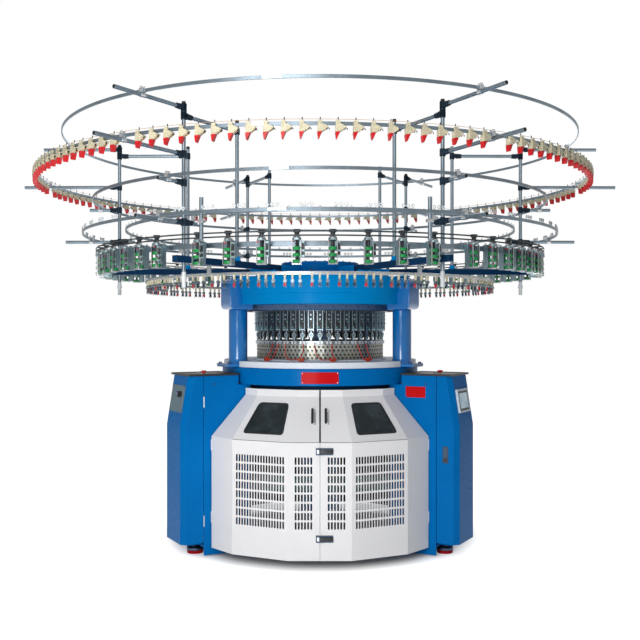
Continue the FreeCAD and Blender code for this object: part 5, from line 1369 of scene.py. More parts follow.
def draw_connectors(bm):
    for angle, _ in AIR_LINES:
        place = outward(angle) @ at(566, 0, COVER_FACE)
        add_block(bm, (-12, -14, 0), (12, 14, 24), place)
        add_drum(bm, (12, 0, 16), (22, 0, 16), 12, sides=18, place=place)
        for side in (-1, 1):
            add_drum(bm, (2, side * 14, 14), (2, side * 24, 14), 8, sides=12, place=place)


def draw_connector_hubs(bm):
    for angle, _ in AIR_LINES:
        place = outward(angle) @ at(566, 0, COVER_FACE)
        add_drum(bm, (21.5, 0, 16), (24, 0, 16), 6, sides=12, place=place)


def draw_hoses(bm):
    for angle, tips in AIR_LINES:
        for tip in tips:
            side = 24 if tip > angle else -24
            start = outward(angle) @ Vector((568, side, COVER_FACE + 14))
            sag = outward(angle + (tip - angle) * 0.45) @ Vector((552, side * 0.8, COVER_FACE + 14))
            rise = outward(angle + (tip - angle) * 0.88) @ Vector((512, 0, 1372))
            end = outward(tip) @ Vector((481, 0, 1428))
            add_hose(bm, (start, sag, rise, end, outward(tip) @ Vector((479, 0, 1446))), 3.2)


piece("air_connectors", "frame", ORANGE, draw_connectors, bevel=1.6, slot="red_plastic")
piece("air_connector_hubs", "frame", BLACK, draw_connector_hubs, bevel=0.6, slot="black_plastic")
piece("air_hoses", "frame", HOSE_RED, draw_hoses, slot="red_plastic")

# %% The bare enamel plate on the table's rim
PLATE_FACE = TABLE_EDGE + 1.6


def bent_plate(bm, half, low, high, inner, outer):
    """A plate that follows a cylinder: its outline is an arc at two radii."""
    turn = half / outer
    plan = arc_line(outer, -turn, turn, 24) + arc_line(inner, turn, -turn, 24)
    add_plate(bm, plan, low, high, plane="XY")


def draw_plate_rivets(bm):
    for side in (-10.0, 10.0):
        for height in (1188, 1250):
            place = outward(side * 0.93) @ at(PLATE_FACE, 0, height) @ FACE_OUT
            add_turned(bm, [(0, 0), (4, 0), (3.4, 1.6), (1.8, 2.4), (0, 2.6)], 14, place)


piece("rim_plate", "frame", SIGN_RED,
      lambda bm: bent_plate(bm, 126, 1180, 1258, TABLE_EDGE - 0.3, PLATE_FACE), bevel=0.6, slot="red_paint")
piece("rim_plate_rivets", "frame", BRIGHT, draw_plate_rivets, slot="machined_steel")

# %% [markdown]
# ## Legs and levelling feet
# The legs are welded boxes, and their solids are right as drawn. Each is copied, cleaned of loose
# triangles and given real edge radii.

# %% Legs
for leg in ("leg_left", "leg_right", "leg_rear"):
    dressed_copy(leg + "_box", leg, "frame", BLUE, 3.0)


def foot_place(angle):
    return outward(angle) @ at(1000, 0, 0)


def draw_feet_pads(bm):
    for angle in LEGS:
        add_turned(bm, [(0, 0), (54, 0), (55, 3), (55, 18), (50, 22), (0, 22)], 48, foot_place(angle))


def draw_feet_metal(bm):
    for angle in LEGS:
        place = foot_place(angle)
        add_turned(bm, [(0, 22), (56, 22), (57.5, 24), (57.5, 38), (54, 42), (0, 42)], 48, place=place)
        add_turned(bm, [(0, 42), (24, 42), (24, 63.8), (0, 63.8)], 6, place=place)
        threads = [(0, 62)]
        for turn in range(8):
            threads += [(12.0, 62 + 4 * turn), (10.6, 64 + 4 * turn)]
        add_turned(bm, threads + [(0, 93)], 20, place=place)


piece("foot_pads", "frame", RED, draw_feet_pads, ("levelling_feet",), 1.0, slot="red_paint")
piece("foot_screws", "frame", DARK_STEEL, draw_feet_metal, bevel=0.8, slot="machined_steel")


LEG_SIDES = ((-60, 1), (60, -1))


def draw_leg_screws(bm):
    """Two screws high on the side of each front leg that faces the gate."""
    for angle, front in LEG_SIDES:
        for radius, height in ((745, 1172), (923, 1171)):
            place = outward(angle) @ at(radius, front * 160, height) @ Matrix.Rotation(
                -front * math.pi / 2, 4, "X")
            bolt_head(bm, place, 6, 4)


def draw_leg_flanges(bm):
    """The folded strip on each front leg that runs beside the gate's slope."""
    for angle, front in LEG_SIDES:
        near, far = sorted((front * 159.8, front * 161.6))
        strip = [(976, 830), (993, 846), (746, 1122), (727, 1104)]
        add_plate(bm, strip, near, far, outward(angle), plane="XZ")


def draw_leg_plate(bm):
    add_block(bm, (776, -161.4, 1077), (922, -159.9, 1152), outward(60))


piece("leg_side_screws", "frame", DARK_STEEL, draw_leg_screws, slot="machined_steel")
piece("leg_flanges", "frame", BLUE, draw_leg_flanges, bevel=0.8, slot="blue_paint")
piece("leg_bare_plate", "frame", SIGN_RED, draw_leg_plate, bevel=0.6, slot="red_paint")

# %% [markdown]
# ## The folded guard
# The guard is a folded sheet with fifteen flat sides: upright, then sloping in to a collar. Its front is
# two gate leaves. A leaf's flats are drawn in their own plane with the slots and the window as holes.
# The slots' outlines come from a Geometry Nodes grid, and a constrained triangulation leaves them open, so
# the sheet is truly pierced and gets its thickness from Solidify. The inner faces and cut edges take a
# dark grey that is painted shade for the dim inside of the guard.


# %% The tree that lays out a field of slots
def slot_field_tree():
    tree = bpy.data.node_groups.new("Field of slots", "GeometryNodeTree")
    face = tree.interface
    for name, kind in (("Columns", "Int"), ("Rows", "Int"), ("Column pitch", "Float"),
                       ("Row pitch", "Float"), ("Slot width", "Float"), ("Slot height", "Float"),
                       ("Finish", "Material")):
        face.new_socket(name, in_out="INPUT", socket_type="NodeSocket" + kind)
    face.new_socket("Geometry", in_out="OUTPUT", socket_type="NodeSocketGeometry")
    given = tree_node(tree, "NodeGroupInput").outputs

    def maths(operation, first, second):
        return tree_node(tree, "ShaderNodeMath", {"operation": operation}, {0: first, 1: second}).outputs[0]

    def product(count, pitch):
        return maths("MULTIPLY", maths("SUBTRACT", count, 1.0), pitch)

    field = tree_node(tree, "GeometryNodeMeshGrid", {},
                      {"Vertices X": given["Columns"], "Vertices Y": given["Rows"],
                       "Size X": product(given["Columns"], given["Column pitch"]),
                       "Size Y": product(given["Rows"], given["Row pitch"])})
    slot = tree_node(tree, "GeometryNodeCurvePrimitiveQuadrilateral", {},
                     {"Width": given["Slot width"], "Height": given["Slot height"]})
    corner = maths("MULTIPLY", given["Slot width"], 0.42)
    soft = tree_node(tree, "GeometryNodeFilletCurve", {}, {"Curve": slot.outputs[0], "Radius": corner})
    soft.mode = "POLY"
    soft.inputs["Count"].default_value = 3
    loop = tree_node(tree, "GeometryNodeCurveToMesh", {}, {"Curve": soft.outputs[0]})
    copies = tree_node(tree, "GeometryNodeInstanceOnPoints", {},
                       {"Points": field.outputs[0], "Instance": loop.outputs[0]})
    solid = tree_node(tree, "GeometryNodeRealizeInstances", {}, {"Geometry": copies.outputs[0]})
    painted = tree_node(tree, "GeometryNodeSetMaterial", {},
                        {"Geometry": solid.outputs[0], "Material": given["Finish"]})
    tree_node(tree, "NodeGroupOutput", {}, {"Geometry": painted.outputs[0]})
    return tree


SLOT_FIELD = slot_field_tree()


def slot_loops(columns, across):
    """The closed outlines of a field of slots on one flat, as lists of flat points."""
    holder = placed("slot_field", bpy.data.meshes.new("slot_field"))
    layout = holder.modifiers.new("slots", "NODES")
    layout.node_group = SLOT_FIELD
    for name, value in (("Columns", columns), ("Rows", ROWS), ("Column pitch", 20.0),
                        ("Row pitch", ROW_PITCH), ("Slot width", SLOT_WIDE), ("Slot height", SLOT_TALL + 2),
                        ("Finish", WHITE)):
        layout[input_id(SLOT_FIELD, name)] = value
    mesh = applied(holder)
    flat = [(v.co.x + across, v.co.y + (SLOT_LOW + SLOT_TOP) / 2) for v in mesh.vertices]
    links = {i: [] for i in range(len(flat))}
    for edge in mesh.edges:
        links[edge.vertices[0]].append(edge.vertices[1])
        links[edge.vertices[1]].append(edge.vertices[0])
    loops, seen = [], set()
    for start in range(len(flat)):
        if start in seen:
            continue
        loop, here = [], start
        while here is not None:
            seen.add(here)
            loop.append(flat[here])
            here = next((other for other in links[here] if other not in seen), None)
        loops.append(loop)
    bpy.data.meshes.remove(mesh)
    return loops


# %% The guard's setting-out
SIDES, SHEET = 15, 3.0
KNEE, SHOULDER, GUARD_LOW, GUARD_TOP = 820.0, 1093.0, 62.0, 1139.0
WIDE, NARROW = 985.0 * math.cos(math.pi / SIDES), 730.0 * math.cos(math.pi / SIDES)
SLOT_LOW, SLOT_TOP, SLOT_TALL, SLOT_WIDE, ROWS = 264.0, 725.0, 46.0, 12.2, 8
ROW_PITCH = (SLOT_TOP - SLOT_LOW - SLOT_TALL) / (ROWS - 1)


def guard_depth(height):
    share = min(max((height - KNEE) / (SHOULDER - KNEE), 0.0), 1.0)
    return WIDE + (NARROW - WIDE) * share


def facet_half(height):
    return guard_depth(height) * math.tan(math.pi / SIDES)


def facet_point(facet, along, height, out=0.0):
    """A point on one flat of the guard: along it to the right, at a height, out from its face."""
    slope = math.atan2(WIDE - NARROW, SHOULDER - KNEE) if KNEE < height < SHOULDER else 0.0
    depth, turn = guard_depth(height) + out * math.cos(slope), math.radians(facet)
    return Vector((depth * math.sin(turn) + along * math.cos(turn),
                   -depth * math.cos(turn) + along * math.sin(turn), height + out * math.sin(slope)))


def facet_frame(facet, along, height, out=0.0):
    """The frame on a flat: +X along it to the right, +Y up its face, +Z out of it."""
    origin = facet_point(facet, along, height, out)
    right = (facet_point(facet, along + 1, height, out) - origin).normalized()
    up = (facet_point(facet, along, height + 1, out) - origin).normalized()
    frame_matrix = Matrix((right, up, right.cross(up))).transposed().to_4x4()
    return Matrix.Translation(origin) @ frame_matrix


def leg_cut(height):
    """Where the outer flat of a leaf ends beside its leg, along that flat."""
    return (-170.3 + 0.2079 * guard_depth(height)) / 0.978


def window_outline(spare=0.0):
    """The window's trapezoid with soft corners, drawn in by a spare margin all round."""
    low, top, wide, narrow, nip, steps = 865.0 + spare, 1047.0 - spare, 145.0 - spare, 106.0 - spare, 24.0, 4
    corners = [(wide, low), (narrow, top), (-narrow, top), (-wide, low)]
    points = []
    for index, corner in enumerate(corners):
        here = Vector(corner)
        before, after = Vector(corners[index - 1]), Vector(corners[(index + 1) % 4])
        first, last = here + (before - here).normalized() * nip, here + (after - here).normalized() * nip
        for step in range(steps + 1):
            share = step / steps
            points.append(tuple(first * (1 - share) ** 2 + here * 2 * share * (1 - share)
                                + last * share ** 2))
    return points


def inside(spot, loop):
    """Whether a point lies inside a closed outline, by counting crossings to its right."""
    crossings = 0
    for (x0, y0), (x1, y1) in zip(loop, loop[1:] + loop[:1]):
        if (y0 > spot[1]) != (y1 > spot[1]) and spot[0] < x0 + (spot[1] - y0) * (x1 - x0) / (y1 - y0):
            crossings += 1
    return crossings % 2 == 1


def pierced_face(bm, facet, outline, holes=()):
    """A flat region with holes, triangulated in its own plane and stood up on its flat."""
    flat, edges = [], []
    for loop in (outline, *holes):
        first = len(flat)
        flat += [Vector(point) for point in loop]
        edges += [(first + i, first + (i + 1) % len(loop)) for i in range(len(loop))]
    points, _, faces, *_ = delaunay_2d_cdt(flat, edges, [], 1, 1e-4)
    made = [bm.verts.new(facet_point(facet, along, min(max(height, GUARD_LOW), GUARD_TOP)))
            for along, height in points]
    boxes = []
    for hole in holes:
        across, up = zip(*hole)
        boxes.append((min(across), max(across), min(up), max(up), hole))
    for face in faces:
        middle = sum((points[i] for i in face), Vector((0, 0))) / len(face)
        in_hole = any(left < middle.x < right and low < middle.y < top and inside(middle, hole)
                      for left, right, low, top, hole in boxes)
        if len(set(face)) > 2 and not in_hole:
            bm.faces.new([made[i] for i in face])


def draw_leaf(bm, sign):
    """One gate leaf's outer skin: a half flat at the seam, a full flat, and a part flat beside the leg."""
    levels = ((GUARD_LOW, KNEE), (KNEE, SHOULDER), (SHOULDER, GUARD_TOP))
    side_holes = {GUARD_LOW: slot_loops(18, 0), KNEE: (window_outline(),)}
    centre_holes = {GUARD_LOW: slot_loops(6, sign * 106)}
    for low, top in levels:
        for facet, near, far, holes in (
                (0, lambda z: sign * 1.0, lambda z: sign * facet_half(z), centre_holes.get(low, ())),
                (24 * sign, lambda z: -facet_half(z), lambda z: facet_half(z), side_holes.get(low, ())),
                (48 * sign, lambda z: -sign * facet_half(z), lambda z: sign * leg_cut(z), ())):
            outline = [(near(low), low), (far(low), low), (far(top), top), (near(top), top)]
            pierced_face(bm, facet, outline, holes)


def outward_sheet(name, draw, body, finish, replaces):
    """A skin drawn on the outer face, turned outward and thickened inward, with painted shade on its inner
    faces and cut edges.
    """
    bm = bmesh.new()
    draw(bm)
    bmesh.ops.remove_doubles(bm, verts=bm.verts, dist=0.02)
    bmesh.ops.recalc_face_normals(bm, faces=bm.faces)
    outward_share = sum(face.normal.xy.dot(face.calc_center_median().xy) * face.calc_area()
                        for face in bm.faces)
    if outward_share < 0:
        bmesh.ops.reverse_faces(bm, faces=bm.faces)
    thing = to_object(name, bm)
    wall = thing.modifiers.new("sheet", "SOLIDIFY")
    wall.thickness, wall.offset = SHEET * MM, -1
    settle(thing, body, finish, replaces)
    # Painted shade: the inner faces and every cut edge, the slots' rims among them, take the dark grey.
    thing.data.materials.append(INNER_SHADE)
    wall.material_offset = wall.material_offset_rim = 1
    return thing


GATE_SIDES = (("left", -1), ("right", 1))
for side_name, sign in GATE_SIDES:
    outward_sheet("gate_leaf_" + side_name, lambda bm: draw_leaf(bm, sign), "gate_" + side_name, WHITE,
                  ("door_" + side_name,))
rear = dressed_copy("rear_guard_sheets", "rear_guards", "frame", WHITE, 0.8, 1)
# Painted shade: the rear guards' inward faces take the same dark grey, for the dim inside of the guard.
rear.data.materials.append(INNER_SHADE)
for face in rear.data.polygons:
    face.material_index = int(face.normal.x * face.center.x + face.normal.y * face.center.y < -0.1)
print("slots in each leaf:", 24 * ROWS)


# %% [markdown]
# ## Windows
# In each leaf a smoked pane is held by a rubber lip. The pane is the opening's outline drawn in a little
# and given thickness. The lip is one small section that follows the same outline, drawn in or out.

# %% Panes and seals
PANE_MIDDLE = 956
PANE_LEAN = math.cos(math.atan2(WIDE - NARROW, SHOULDER - KNEE))


def draw_pane(bm, sign):
    outline = [(a, (z - PANE_MIDDLE) / PANE_LEAN) for a, z in window_outline(3.0)]
    add_plate(bm, outline, -3.7, -1.2, facet_frame(24 * sign, 0, PANE_MIDDLE), plane="XY")


def draw_seal(bm, sign):
    """A rubber lip round the opening: a closed strip whose section stands proud of the sheet."""
    place = facet_frame(24 * sign, 0, PANE_MIDDLE)
    section = ((-5, 0.2), (-4, 2.6), (1, 3.2), (5, 2.0), (6, -1.4), (0, -3.4), (-5, -0.4))
    join_rows(bm, [[bm.verts.new(place @ Vector((a, (z - PANE_MIDDLE) / PANE_LEAN, out)))
                    for a, z in window_outline(spare)] for spare, out in section])


for side_name, sign in GATE_SIDES:
    piece("window_pane_" + side_name, "gate_" + side_name, GLASS, lambda bm: draw_pane(bm, sign),
          ("window_" + side_name,), 0.8)
    piece("window_seal_" + side_name, "gate_" + side_name, RUBBER, lambda bm: draw_seal(bm, sign),
          slot="black_plastic")


# %% [markdown]
# ## What the hands meet
# Each leaf has an upright black grip on a pale bracket. Two toggle levers ride on the right leaf and hook
# over bright strikes on the left one. A rubber edge closes the seam above the knee, and a thin dark rod
# along the fold is painted shade for its crease. All are simple blocks, plates and rods, so they are drawn one
# by one.

# %% Handles, latches and hinges
LATCH_HEIGHTS = (763, 203)


def draw_handle_loop(bm, sign):
    for height in (930, 1000):
        start, end = facet_point(0, sign * 44 + 10, height), facet_point(0, sign * 44 - 4, height, 24)
        add_drum(bm, start, end, 4.5, sides=16)
    along = sign * 44 + 10
    add_drum(bm, facet_point(0, along, 922, 2), facet_point(0, along, 1008, 2), 7, sides=16)


def draw_handle_grip(bm, sign):
    along = sign * 44 - 6
    add_drum(bm, facet_point(0, along, 922, 22), facet_point(0, along, 1008, 22), 8)


def draw_keepers(bm, sign):
    face = WIDE
    for height in LATCH_HEIGHTS:
        if sign < 0:
            add_block(bm, (-27, -face - 3, height - 23), (-1.2, -face, height + 23))
            for low in (height - 22, height + 14):
                add_block(bm, (-25, -face - 12, low), (-3, -face - 3, low + 8))
            for up in (-17, 17):
                bolt_head(bm, at(-14, -face - 3, height + up) @ Matrix.Rotation(math.pi / 2, 4, "X"), 3.5, 2)
        else:
            add_block(bm, (1.2, -face - 4.8, height - 23), (85, -face, height + 23))
            add_block(bm, (1.2, -face - 12, height - 22), (30, -face - 4.8, height - 15))
            add_block(bm, (1.2, -face - 12, height + 15), (30, -face - 4.8, height + 22))


def draw_strikes(bm):
    for height in LATCH_HEIGHTS:
        add_block(bm, (-20, -WIDE - 14, height - 13), (-4, -WIDE - 3, height + 13))


def draw_seals_and_fold_shade(bm, sign):
    """The seam's rubber edge above the knee, and a thin dark rod along the fold, painted shade for its crease.
    """
    for low, high in ((KNEE + 1, SHOULDER - 0.5), (SHOULDER + 1.5, GUARD_TOP - 1)):
        add_drum(bm, facet_point(0, sign * 3.2, low, 0.4), facet_point(0, sign * 3.2, high, 0.4), 2.2, sides=8)
    # Painted shade: a thin dark rod lies along the knee fold for the shade in its crease.
    for facet, near, far in ((0, sign * 2, sign * (facet_half(KNEE) - 1)),
                             (24 * sign, 1 - facet_half(KNEE), facet_half(KNEE) - 1)):
        add_drum(bm, facet_point(facet, near, KNEE, 0.2), facet_point(facet, far, KNEE, 0.2), 1.5, sides=8)


def draw_lever(bm, height):
    face = WIDE + 5.3
    plan = [(2, -face), (2, -face - 10), (10, -face - 11.8), (70, -face - 11.8), (85, -face - 6),
            (85, -face)]
    add_plate(bm, plan, height - 13, height + 13, plane="XY")
    add_drum(bm, (10, -face - 6, height - 22), (10, -face - 6, height + 22), 4, sides=14)


for side_name, sign in GATE_SIDES:
    piece("handle_loop_" + side_name, "gate_" + side_name, BRIGHT, lambda bm: draw_handle_loop(bm, sign),
          slot="machined_steel", bevel=0.5)
    piece("handle_grip_" + side_name, "gate_" + side_name, BLACK, lambda bm: draw_handle_grip(bm, sign),
          slot="black_plastic", bevel=1.5, segments=3)
    piece("latch_plates_" + side_name, "gate_" + side_name, DARK_STEEL, lambda bm: draw_keepers(bm, sign),
          slot="machined_steel", bevel=1.0)
    piece("gate_seals_" + side_name, "gate_" + side_name, RUBBER, lambda bm: draw_seals_and_fold_shade(bm, sign),
          slot="black_plastic")
piece("latch_strikes", "gate_left", BRIGHT, draw_strikes, slot="machined_steel", bevel=2.0)
for latch, height in zip(("upper_latch", "lower_latch"), LATCH_HEIGHTS):
    piece(latch + "_lever", latch, BLACK, lambda bm: draw_lever(bm, height), (latch,), 1.5)


def draw_hinges(bm):
    """Three knuckles on each pin, for the gate and for the cabinet covers."""
    for angle, front in LEG_SIDES:
        rows = [(947.5, front * 165, h) for h in (760, 270)] + [(1001.65, 165, h) for h in (1052, 246)]
        for radius, side, height in rows:
            place = outward(angle) @ at(radius, side, height)
            for low in (-37.5, -12, 13.5):
                add_turned(bm, [(0, low), (4.2, low), (4.8, low + 0.8), (4.8, low + 23.2), (4.2, low + 24),
                                (0, low + 24)], 18, place=place)
            add_drum(bm, (0, 0, -37.5), (0, 0, 37.5), 3.2, place=place, sides=12)


piece("hinge_knuckles", "frame", ALLOY, draw_hinges, ("hinge_barrels",))

# %% [markdown]
# ## Cabinets
# The covers over the two front legs are folded sheets, taken from their solids and given soft bends. The
# left one carries the main switch on a grey plate, the right one a touch panel.

# %% Covers and tops
LEAN = math.atan2(1158 - 1103, 1227 - 886)


def slope_frame(angle, height, side, out=0.0):
    """The frame on a cover's sloping face: +X out of the face, +Y to the side, +Z up it."""
    reach = 1158 - (height - 886) * math.tan(LEAN)
    return (outward(angle) @ at(reach + out * math.cos(LEAN), side, height + out * math.sin(LEAN))
            @ Matrix.Rotation(-LEAN, 4, "Y"))


dressed_copy("cabinet_shell_left", "cabinet_cover_left", "cover_left", BLUE, 2.2, 3, 1.5)
dressed_copy("cabinet_shell_right", "cabinet_cover_right", "cover_right", BLUE, 2.2, 3, 1.5)
for side_name in ("left", "right"):
    dressed_copy("cabinet_tray_" + side_name, "cabinet_top_" + side_name, "frame", BLACK, 1.6, 3)


def draw_switch_plate(bm):
    place = slope_frame(-60, 1102, 0)
    low, top = (981 - 1102) / math.cos(LEAN), (1162 - 1102) / math.cos(LEAN)
    add_block(bm, (0.1, -118.3, low), (3.5, 118.3, top), place)


def draw_plate_screws(bm):
    place = slope_frame(-60, 1102, 0)
    for side in (-106, 106):
        for height in (-110, 52):
            bolt_head(bm, place @ at(3.5, side, height) @ FACE_OUT, 5, 2.5)


def draw_lamp(bm):
    place = slope_frame(-60, 1110, -17, 3) @ FACE_OUT
    add_turned(bm, [(0, 0.4), (7.5, 0.4), (7.5, 5), (5.5, 8), (0, 9)], 24, place=place)


def draw_lamp_bezel(bm):
    place = slope_frame(-60, 1110, -17, 3) @ FACE_OUT
    add_turned(bm, [(7.2, 0.4), (11, 0.4), (10.5, 3.4), (7.2, 4)], 24, place=place)


def draw_switch(bm):
    place = slope_frame(-60, 1102, 55, 3.8) @ FACE_OUT
    add_turned(bm, [(0, 0.2), (22, 0.2), (22, 5), (20, 7.5), (0, 7.5)], 40, place=place)
    add_plate(bm, rounded(19.5, 5.2, 4.5), 7.4, 23.5, place, plane="XY")


piece("switch_plate_face", "cover_left", PLATE_GREY, draw_switch_plate, slot="grey_plastic", bevel=1.0)
piece("switch_plate_screws", "cover_left", DARK_STEEL, draw_plate_screws, slot="machined_steel")
piece("power_lamp", "cover_left", FLAP_RED, draw_lamp, slot="red_plastic")
piece("power_lamp_bezel", "cover_left", BRIGHT, draw_lamp_bezel, slot="machined_steel")
piece("main_switch_knob", "main_switch", BLACK, draw_switch, ("main_switch",), 1.2, 3)


def draw_panel_case(bm):
    place = slope_frame(60, 1057, -15, 0.3)
    add_plate(bm, rounded(100, 80, 5), 0, 11, place)
    rim = [rounded(100, 80, 5), rounded(100, 80, 5), rounded(86, 66, 3), rounded(86, 66, 3)]
    join_rows(bm, [[bm.verts.new(place @ Vector((out, a, b))) for a, b in loop]
                   for loop, out in zip(rim, (11, 16, 15, 11))])


def draw_panel_bezel(bm):
    place = slope_frame(60, 1057, -15, 0.3)
    add_plate(bm, rounded(85.5, 65.5, 2), 11, 13.2, place)


def draw_panel_screen(bm):
    place = slope_frame(60, 1057, -15, 0.3)
    add_plate(bm, rounded(72, 52, 1.5), 13, 13.8, place)


piece("touch_panel_case", "cover_right", SCREEN_WHITE, draw_panel_case, ("touch_panel",), 1.2, 2)
piece("touch_panel_bezel", "cover_right", BLACK, draw_panel_bezel, slot="black_plastic", bevel=0.5)
piece("touch_panel_screen", "cover_right", DISPLAY, draw_panel_screen, slot="dark_window")


def latch_place(angle):
    return outward(angle) @ at(1068, -160, 698) @ Matrix.Rotation(math.pi / 2, 4, "X")


def draw_latch_well(bm, angle):
    """A flush cam latch near the free edge of each cover: a thin rim, a dark well and a finger bar."""
    add_plate(bm, rounded(20, 56, 5), -0.5, 1.0, latch_place(angle), plane="XY")
    add_plate(bm, rounded(14, 12, 3), 0.9, 2.6, latch_place(angle) @ at(0, -34, 0), plane="XY")


def draw_latch_face(bm, angle):
    add_plate(bm, rounded(16, 50, 4), 0.9, 1.3, latch_place(angle), plane="XY")


CABINET_SIDES = (("left", -60), ("right", 60))
for side_name, angle in CABINET_SIDES:
    piece("cover_latch_" + side_name, "cover_" + side_name, BLACK, lambda bm: draw_latch_well(bm, angle),
          slot="black_plastic", bevel=0.4)
    piece("cover_latch_face_" + side_name, "cover_" + side_name, DARK_STEEL,
          lambda bm: draw_latch_face(bm, angle), slot="machined_steel")


def button_place(angle, index, height=1238):
    """Where a push button stands in a tray's row. The stop button's place is number -1."""
    return outward(angle) @ at(950, -34 * index, height)


def draw_stop(bm, angle):
    """A mushroom head with a crowned top over a short collar."""
    place = button_place(angle, -1, 1244.3)
    head = [(0, 0.2), (15, 0.2), (16, 3), (19.4, 5), (20, 8), (19, 11.5), (15, 14.4), (8, 15.7), (0, 16)]
    add_turned(bm, head, 40, place)
    add_drum(bm, (0, 0, -8), (0, 0, 1), 7.9, place=place)


def draw_push_buttons(bm):
    for angle in (-60, 60):
        for index in range(3):
            add_turned(bm, [(0, 0), (7, 0), (7, 6), (6, 7.2), (0, 7.2)], 24, button_place(angle, index))


def draw_button_bezels(bm):
    for angle in (-60, 60):
        for index in range(3):
            add_turned(bm, [(7.4, 0), (12, 0), (12, 1.6), (10.5, 3), (7.4, 3)], 28, button_place(angle, index))
        add_turned(bm, [(18, -0.2), (24, -0.2), (23, 0.8), (18, 0.8)], 28, button_place(angle, -1))


for side_name, angle in CABINET_SIDES:
    piece("stop_head_" + side_name, "stop_button_" + side_name, FLAP_RED, lambda bm: draw_stop(bm, angle),
          ("stop_button_" + side_name,), 0.6)
piece("push_button_caps", "frame", RUBBER, draw_push_buttons, slot="black_plastic", bevel=0.5)
piece("button_bezels", "frame", BRIGHT, draw_button_bezels, slot="machined_steel", bevel=0.4)

# %% [markdown]
# ## What shows behind the slots
# The take-down hangs from the turntable inside the guard, and turns with the cylinder. The cabinets hold
# the electrical panel, the motor and the drive. They are seen only with the gate or a cover open, or
# dimly through the slots, so their solids are kept with rounded edges and real finishes.

# %% Take-down and drive
dressed_copy("takedown_cheeks", "takedown_frame", "rotor", NAVY, 2.0)
for roller_side, node in (("front", "takedown_roller_front"), ("rear", "takedown_roller_rear")):
    low, high = span(node)
    middle_y, middle_z, end = (low.y + high.y) / 2, (low.z + high.z) / 2, high.x

    def draw_roller(bm):
        turn = at(0, middle_y, middle_z) @ FACE_OUT
        add_turned(bm, [(0, -end), (13.9, -end), (13.9, -518), (34, -518), (37.8, -514), (37.8, 514),
                        (34, 518), (13.9, 518), (13.9, end), (0, end)], 36, turn)

    piece("nip_roller_" + roller_side, "roller_" + roller_side, RUBBER, draw_roller, (node,), 0.5)


def draw_cloth_roller(bm):
    low, high = span("cloth_roller")
    turn = at(0, 0, (low.z + high.z) / 2) @ FACE_OUT
    add_turned(bm, [(0, low.x), (13.9, low.x), (13.9, -518), (56, -518), (59.6, -514), (59.6, 514),
                    (56, 518), (13.9, 518), (13.9, high.x), (0, high.x)], 48, turn)


piece("cloth_roller_tube", "cloth_roller", TEAL, draw_cloth_roller, ("cloth_roller",), 0.8)
dressed_copy("panel_boards", "electrical_panel", "frame", ALLOY, 1.0)
dressed_copy("motor_casting", "drive_motor", "frame", NAVY, 2.0)
dressed_copy("motor_wheel", "motor_pulley", "motor_pulley", STEEL, 0.8)
dressed_copy("drive_shaft_wheels", "drive_shaft", "drive_shaft", STEEL, 0.8)
dressed_copy("drive_belt_band", "drive_belt", "frame", BELT, 0.6)

# %% [markdown]
# ## Studio
# A pale floor runs under the machine. The camera stands where the photograph was taken: level, at about
# chest height, with a slight vertical shift for its framing. Soft lamps keep a plain level, and the
# world looks white to the camera and to reflections alone.

# %% Camera
CAMERA_STAND, CAMERA_HEIGHT = -6.6, 1.574
lens = bpy.data.cameras.new("camera")
lens.lens, lens.sensor_width, lens.shift_y = 49.5, 36.0, 0.0078
camera = placed("camera", lens)
camera.location = (0, CAMERA_STAND, CAMERA_HEIGHT)
camera.rotation_euler = (math.pi / 2, 0, 0)
bpy.context.scene.camera = camera


# %% Floor, lamps and world
def seen_white(tree, dim, bright):
    """Mixes two shaders: bright for the camera, partly so in reflections, and dim for what gives light."""
    path = tree.nodes.new("ShaderNodeLightPath")
    part, first, second = (tree.nodes.new("ShaderNodeMath") for _ in range(3))
    part.operation, part.inputs[1].default_value = "MULTIPLY", 0.45
    first.operation = second.operation = "MAXIMUM"
    tree.links.new(path.outputs["Is Glossy Ray"], part.inputs[0])
    tree.links.new(path.outputs["Is Camera Ray"], first.inputs[0])
    tree.links.new(part.outputs[0], first.inputs[1])
    tree.links.new(first.outputs[0], second.inputs[0])
    tree.links.new(path.outputs["Is Transmission Ray"], second.inputs[1])
    mix = tree.nodes.new("ShaderNodeMixShader")
    tree.links.new(second.outputs[0], mix.inputs[0])
    tree.links.new(dim.outputs[0], mix.inputs[1])
    tree.links.new(bright.outputs[0], mix.inputs[2])
    return mix


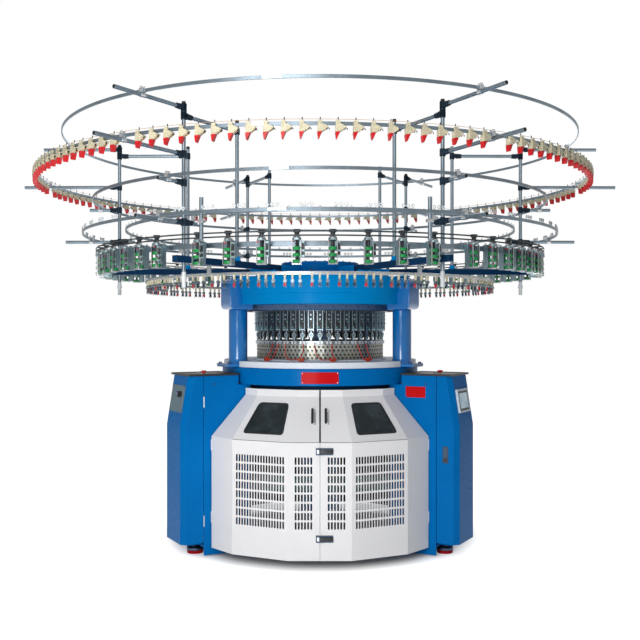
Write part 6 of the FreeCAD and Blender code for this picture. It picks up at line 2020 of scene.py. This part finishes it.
def make_world():
    world = bpy.data.worlds.new("studio")
    bpy.context.scene.world = world
    world.use_nodes = True
    tree = world.node_tree
    tree.nodes.clear()
    dim, bright = tree.nodes.new("ShaderNodeBackground"), tree.nodes.new("ShaderNodeBackground")
    for shader, colour, strength in ((dim, (0.93, 0.97, 1.0, 1.0), 0.2), (bright, (1.0, 1.0, 1.0, 1.0), 1.0)):
        shader.inputs["Color"].default_value, shader.inputs["Strength"].default_value = colour, strength
    output = tree.nodes.new("ShaderNodeOutputWorld")
    tree.links.new(seen_white(tree, dim, bright).outputs[0], output.inputs["Surface"])


FLOOR_LIFT = 0.9


def make_floor():
    """Pale paper, lifted to white for the camera alone. Under the guard it stays dark."""
    bm = bmesh.new()
    edges = ((-14000, -9000), (14000, -9000), (14000, 16000), (-14000, 16000))
    bm.faces.new([bm.verts.new((x, y, -2)) for x, y in edges])
    floor = to_object("studio_floor", bm)
    paper = Finish("studio_paper")
    cloud = paper.noise(1.5)
    distance = paper.node("ShaderNodeVectorMath", {"operation": "DISTANCE"},
                          {0: paper.place, 1: (0, 0.2, 0)}, 1)
    lift = paper.seen() * paper.band(distance, 0.98, 1.3) * FLOOR_LIFT
    floor.data.materials.append(paper.done(
        Base_Color=paper.blend(cloud, (0.90, 0.90, 0.90), (0.93, 0.93, 0.93)), Roughness=0.9,
        Emission_Color=(1.0, 1.0, 1.0, 1.0), Emission_Strength=lift))


def add_lamp(name, spot, aim, size, power):
    light = bpy.data.lights.new(name, "AREA")
    light.energy, light.size, light.shape = power, size, "DISK"
    lamp = placed(name, light)
    lamp.location = spot
    lamp.visible_camera = False
    lamp.rotation_euler = (Vector(aim) - Vector(spot)).to_track_quat("-Z", "Y").to_euler()


make_world()
make_floor()
add_lamp("key", (-1.0, -4.4, 1.1), (0, 0, 1.0), 1.6, 70)
add_lamp("fill", (-1.5, -6.0, 4.4), (0, 0, 1.7), 3.0, 85)
add_lamp("rim", (0.5, 5.5, 5.5), (0, 0, 2.0), 4.0, 130)
bpy.context.scene.view_settings.view_transform = "Standard"

# %% [markdown]
# ## Triangle count
# The triangles of every mesh but the studio's are counted before live modifiers and printed.

# %% Triangle count
bpy.context.view_layer.update()
triangles = 0
for thing in bpy.context.scene.objects:
    if thing.type == "MESH" and not thing.name.startswith("studio"):
        thing.data.calc_loop_triangles()
        triangles += len(thing.data.loop_triangles)
print("triangles before live modifiers:", triangles)
